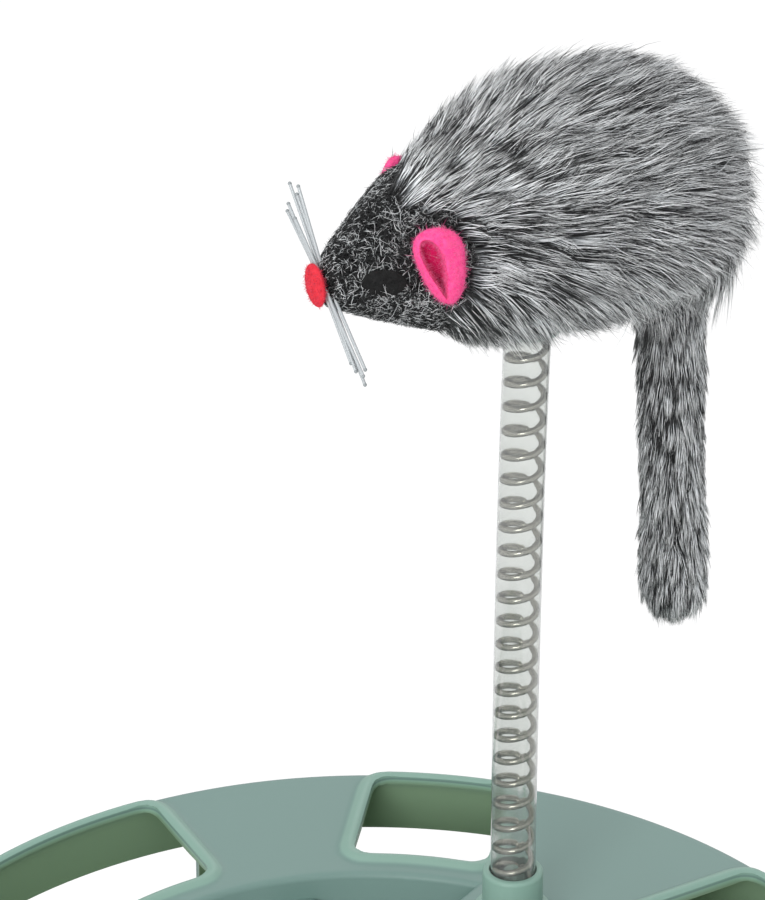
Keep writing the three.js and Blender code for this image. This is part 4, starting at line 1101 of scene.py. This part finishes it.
def make_mouse_head():
    ends = (NECK - 12, HEAD_END - HEAD_INSET)
    skin = form_piece("head_skin", ends, (8, 2.6), (HEAD_INSET, HEAD_INSET), ["mouse_head"])
    roots, facing = scatter(skin, HEAD_HAIRS * FULL)
    forward, out, height = in_mouse(roots).T
    keep = (forward > fur_line(out, height) - 5) & ~((forward > 56) & (np.abs(out) < 2.2))
    roots, facing, forward, height = roots[keep], facing[keep], forward[keep], height[keep]
    count = len(roots)
    length = chance.uniform(1.2, 3.3, count) * (1 - 0.35 * ramped(forward, 44, 58))
    wild = along_skin(chance.normal(size=(count, 3)), facing)
    lift = chance.uniform(0.25, 0.75, count) + 0.5 * ramped(MOUSE_MIDDLE - height, 4, 12)
    start = unit(facing * lift[:, None] + unit(wild) * 0.8 - FORWARD * 0.2) * length[:, None]
    sideways = unit(np.cross(start, facing)) * chance.choice([-1, 1], count)[:, None]
    bend = sideways * (length * chance.uniform(0.3, 1.1, count))[:, None] - facing * (length * 0.4)[:, None]
    bend = bend + clumped(roots, roots + start + bend, 0.35, 5)[0]
    pale = chance.random(count) < 0.16 + 0.5 * (patches(roots, 3.5) - 0.4)
    tip = np.where(pale, chance.uniform(0.9, 1.5, count), chance.uniform(0.0, 0.04, count))
    girth = chance.uniform(0.08, 0.135, count)
    tone = chance.uniform(0.85, 1.0, count)
    grow("curly_fur", CURL, roots, start, bend, girth, tone, tip, CURLS_PILE, "mouse", 8000)
    high = np.flatnonzero((forward < 50) & (height > MOUSE_MIDDLE - 5))
    some = chance.choice(high, int(STRAY_HAIRS * FULL), replace=False)
    reach = chance.uniform(4, 9, len(some))[:, None]
    ahead = unit(wild[some] + facing[some] * 0.35) * reach
    curl = sideways[some] * reach * 0.6 - facing[some] * reach * 0.4
    same = np.ones(len(some))
    girth = LOOSE_GIRTH * same
    grow("loose_hair", CURL, roots[some], ahead, curl, girth, same, same, CURLS_PILE, "mouse")
    return skin


def make_tail():
    work = bmesh.new()
    bmesh.ops.create_uvsphere(work, u_segments=32, v_segments=48, radius=1)
    top = TAIL_PIVOT - TAIL_DROP
    for vert in work.verts:
        share = (1 - vert.co.z) / 2
        drop = (top - (TAIL_TIP + TAIL_FRINGE)) * share
        girth = TAIL_RADIUS * (1 - 0.12 * math.sin(math.pi * share)) * min(1, 0.55 + drop / 22)
        close = math.sqrt(max(0, 1 - max(0, (share - 0.9) / 0.1) ** 2)) * math.sqrt(min(1, drop / 2.5))
        flat = math.hypot(vert.co.x, vert.co.y) or 1
        x = vert.co.x / flat * girth * close + 0.8 - 0.03 * drop
        y = vert.co.y / flat * girth * close - 0.6 + 0.024 * drop
        vert.co = MOUSE_ORIGIN + FORWARD * (TAIL_BACK + x) + LEFT * y + UP * (top - drop)
    skin = finished("tail_skin", sealed(work), BACKING, "tail", ["mouse_tail"], smooth=0)
    roots, facing = scatter(skin, TAIL_HAIRS * FULL)
    count = len(roots)
    want = -UP + chance.normal(scale=0.12, size=(count, 3))
    flow = unit(along_skin(want, facing, 0.9))
    hair = chance.uniform(4.5, 9.5, count)
    start = rising(flow, facing, 0.40 + chance.normal(scale=0.09, size=count), hair)
    bend = -facing * (hair * 0.14)[:, None] - UP * (hair * 0.1)[:, None]
    pull, leader = clumped(roots, roots + start + bend, chance.uniform(0.2, 0.6, count), 30)
    bend = bend + pull
    small, lock = clumped(roots, roots + start + bend, 0.5, 7)
    bend = bend + small
    forward, out, height = in_mouse(roots).T
    cloud = patches(roots, 7.0)
    # Painted light and shade: the tail is painted lighter, with fewer dark hairs, on its lit side and further
    # down, and darker on its far side.
    lit = ramped(out - forward + TAIL_BACK, -5, 6)
    far_down = ramped(TAIL_PIVOT - height, 10, 40)
    tone = chance.uniform(0.75, 1.08, count) * (0.75 + 0.28 * chance.random(count)[leader])
    tone = np.minimum(tone * (0.56 + 0.34 * lit + 0.24 * cloud) * (1 + 0.2 * far_down), 0.92)
    tip = silver_tips(lock, 0.08 + 0.26 * (1 - lit) * (1 - 0.6 * far_down), 0.3)
    girth = chance.uniform(0.1, 0.165, count)
    grow("tail_fur", STRAND, roots, start, bend, girth, tone, tip, FUR, "tail")


def round_piece(reshape, place, turn=0.0, tilt=0.0, lean=0.0, segments=48, rings=36, fold_shade=None):
    """A ball, reshaped, turned and placed on the mouse. The last argument gives how deep each of its points
    lies in a fold, for the painted shade there.
    """
    work = bmesh.new()
    bmesh.ops.create_uvsphere(work, u_segments=segments, v_segments=rings, radius=1)
    co = reshape(np.array([v.co for v in work.verts]))
    if fold_shade:
        layer = work.verts.layers.float.new("fold_shade")
        for vert, value in zip(work.verts, fold_shade(co)):
            vert[layer] = value
    spin = Matrix.Rotation(turn, 3, "Z") @ Matrix.Rotation(tilt, 3, "Y") @ Matrix.Rotation(lean, 3, "X")
    co = co @ np.array(spin).T
    moved(work, MOUSE_ORIGIN + (co + np.array(place)) @ MOUSE_AXES)
    bmesh.ops.recalc_face_normals(work, faces=work.faces[:])
    return work


def ear_hollow(x, height):
    """How deep the ear's hollow is, from 0 to 1: wide above, and closing to a fold below."""
    middle = 0.6 + 0.24 * height
    half = np.maximum(1.75 + 0.2 * height, 0.3)
    reach = ((x - middle) / half) ** 2 + ((height - 0.2) / 6.6) ** 2
    return 1 - ramped(reach, 0.35, 1.2)


def ear_form(side):
    """A folded felt ear: wide above, narrow below, its thick rim rolled round a deep hollow."""

    def reshape(co):
        level = co[:, 2]
        flat = np.maximum(np.hypot(co[:, 0], co[:, 1]), 1e-6)
        ahead, outward = co[:, 0] / flat, side * co[:, 1] / flat
        full = (1 - np.abs(level) ** 2.9) ** 0.5
        height = 8.6 * level
        x = -0.75 + 0.13 * height + (4.85 + 0.17 * height) * full * ahead
        y = np.where(outward > 0, 3.3, 2.4) * full * outward
        y = np.where(outward > 0, np.maximum(y - 5.6 * ear_hollow(x, height), -1.5 * full), y)
        return np.stack([x, side * y, height], 1)

    return reshape


# Where the painted shade in the ear's fold falls, from 0 to 1
def ear_fold_shade(side):
    return lambda co: ear_hollow(co[:, 0], co[:, 2]) * ramped(-side * co[:, 1], -2.0, 1.2)


def half_sizes(*sizes):
    return lambda co: co * np.array(sizes)


EARS = {"left": (1, (39.1, 17.0, 235.3), 4), "right": (-1, (28.2, -13.6, 237.4), -40)}
EAR_TURN = 28
EYE_OUT = {"left": 9.5, "right": 8.3}
EYE_TURN = 35


def make_face():
    nose = round_piece(half_sizes(1.3, 3.0, 4.7), (58.1, 0, 230), lean=math.radians(15))
    nose = finished("nose_felt", nose, RED, "mouse", ["nose"], smooth=0)
    fuzz("nose_fuzz", nose, 900, 0.7, RED_FUZZ)
    for name, (side, place, tilt) in EARS.items():
        spot = (47.5, side * EYE_OUT[name], 231.0)
        eye = round_piece(half_sizes(4.7, 0.8, 3.1), spot, turn=-side * math.radians(EYE_TURN))
        eye = finished(f"eye_patch_{name}", eye, BLACK, "mouse", [f"eye_{name}"], smooth=0)
        fuzz(f"eye_fuzz_{name}", eye, 700, 0.9, BLACK_FUZZ)
        turn = -side * math.radians(EAR_TURN)
        ear = round_piece(ear_form(side), place, turn, math.radians(tilt), 0.0, 96, 72, ear_fold_shade(side))
        ear = finished(f"ear_felt_{name}", ear, PINK, "mouse", [f"ear_{name}"], smooth=0)
        fuzz(f"ear_fuzz_{name}", ear, 4200, 0.75, PINK_FUZZ)
        fuzz(f"ear_strays_{name}", ear, 200, 1.5, PINK_FUZZ)


def fuzz(name, piece, count, length, look):
    roots, facing = scatter(piece, count * FULL)
    count = len(roots)
    reach = chance.uniform(0.5, 1.3, count) * length
    start = unit(facing * 0.5 + chance.normal(size=(count, 3)) * 0.6) * reach[:, None]
    bend = unit(chance.normal(size=(count, 3))) * (reach * 0.6)[:, None]
    tone = chance.uniform(0.85, 1.0, count)
    girth = np.full(count, 0.04)
    grow(name, STRAND, roots, start, bend, girth, tone, np.ones(count), look, "mouse")


# Where each whisker ends, out from the snout's middle and up, above right and then below left
WHISKERS = [
    ((-12.6, 19.0), (13.3, -17.3)),
    ((-9.6, 19.4), (10.2, -15.4)),
    ((-10.1, 17.4), (13.4, -13.8)),
    ((-11.9, 14.9), (9.7, -13.5)),
    ((-12.3, 13.1), (13.9, -14.8)),
    ((-9.6, 12.4), (11.4, -14.7)),
]


def make_whiskers():
    for number, tips in enumerate(WHISKERS):
        row, k = divmod(number, 3)
        ahead = 55.7 + 0.9 * (row - 0.5)
        middle = np.array([0.7 * (k - 1), 1.0])
        halves, ends = [], []
        for tip in tips:
            ways = [middle + (np.array(tip) - middle) * share for share in np.linspace(0, 1, 12)]
            local = [np.array([ahead, way[0], MOUSE_MIDDLE + way[1]]) for way in ways]
            halves.append([MOUSE_ORIGIN + place @ MOUSE_AXES for place in local])
            ends.append(round_piece(half_sizes(0.42, 0.42, 0.42), local[-1], segments=12, rings=8))
        whisker = wound(f"filament_{number + 1}", halves[1][::-1] + halves[0][1:], 0.35, NYLON, 4)
        dress(whisker, "mouse", [f"whisker_{number + 1}"])
        finished(f"filament_ends_{number + 1}", joined(*ends), NYLON_END, "mouse", smooth=0)


def make_ball():
    place = polar(BALL_CENTRE, BALL_ANGLE)
    centre = TRACK_FLOOR + GAP + BALL_RADIUS
    for name, sign in (("inner", -1), ("outer", 1)):
        low = math.degrees(math.asin(0.15 / BALL_RADIUS))  # the halves meet at a fine line
        outline = arc_points((0, 0), BALL_RADIUS, low, 90, 20)
        outline += reversed(arc_points((0, 0), BALL_RADIUS - BALL_WALL, low, 90, 16))
        half = turned([(max(0.0, r), z) for r, z in outline], 64)
        toward = Matrix.Rotation(-math.radians(BALL_ANGLE), 4, "Z")
        toward = toward @ Matrix.Rotation(-sign * math.pi / 2, 4, "X")
        bmesh.ops.transform(half, matrix=Matrix.Translation((*place, centre)) @ toward, verts=half.verts[:])
        finished(f"ball_{name}", half, IVORY, "ball", [f"ball_{name}_half"])


def paint_kept_nodes():
    looks = {"ball_bell": BRASS, "post_washer": ZINC, "post_screw": ZINC, "mouse_socket": SAGE}
    looks.update({f"cover_screw_{i}": ZINC for i in range(1, 5)})
    for name, look in looks.items():
        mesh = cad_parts[name].data
        mesh.materials.clear()
        mesh.materials.append(look)


# Stage and light
def cleared(owner):
    owner.use_nodes = True
    owner.node_tree.nodes.clear()
    return owner.node_tree


def seen(tree):
    """1 for what the camera sees, straight or through something clear, and 0 for all other light."""
    path = node(tree, "ShaderNodeLightPath").outputs
    rays = {0: path["Is Camera Ray"], 1: path["Is Transmission Ray"]}
    return node(tree, "ShaderNodeMath", rays, operation="MAXIMUM").outputs[0]


def make_stage():
    scene = bpy.context.scene
    work = bmesh.new()
    bmesh.ops.create_grid(work, x_segments=1, y_segments=1, size=4)
    floor = placed("floor", as_mesh("floor", work))
    look = bpy.data.materials.new("studio_floor")
    tree = cleared(look)
    share = node(tree, "ShaderNodeMath", {0: seen(tree), 1: 0.86}, operation="MULTIPLY").outputs[0]
    dull = node(tree, "ShaderNodeBsdfDiffuse", {"Color": linear("#f3f3f3")}).outputs[0]
    white = node(tree, "ShaderNodeEmission", {"Color": linear("#ffffff"), "Strength": 1.06}).outputs[0]
    mixed = node(tree, "ShaderNodeMixShader", {0: share, 1: dull, 2: white}).outputs[0]
    node(tree, "ShaderNodeOutputMaterial", {"Surface": mixed})
    floor.data.materials.append(look)
    scene.world = bpy.data.worlds.new("studio")
    tree = cleared(scene.world)
    lit = node(tree, "ShaderNodeBackground", {"Color": linear("#fbfdff"), "Strength": 0.72}).outputs[0]
    white = node(tree, "ShaderNodeBackground", {"Color": linear("#ffffff"), "Strength": 1.0}).outputs[0]
    mixed = node(tree, "ShaderNodeMixShader", {0: seen(tree), 1: lit, 2: white}).outputs[0]
    node(tree, "ShaderNodeOutputWorld", {"Surface": mixed})
    for name, place, size, power in (
        ("overhead", (-0.25, -0.2, 1.6), 1.3, 6.5),
        ("front", (-0.55, -1.5, 0.75), 0.8, 16.5),
        ("behind", (0.3, 1.5, 0.9), 1.0, 4.5),
    ):
        lamp = placed(name, bpy.data.lights.new(name, "AREA"))
        lamp.data.size = size
        lamp.data.energy = power
        lamp.location = place
        lamp.rotation_mode = "QUATERNION"
        lamp.rotation_quaternion = (Vector((0.03, 0.02, 0.15)) - Vector(place)).to_track_quat("-Z", "Y")


make_stage()
make_cover()
make_tray()
make_pads()
make_post()
make_ball()
paint_kept_nodes()
make_mouse_body(make_mouse_head())
make_tail()
make_face()
make_whiskers()
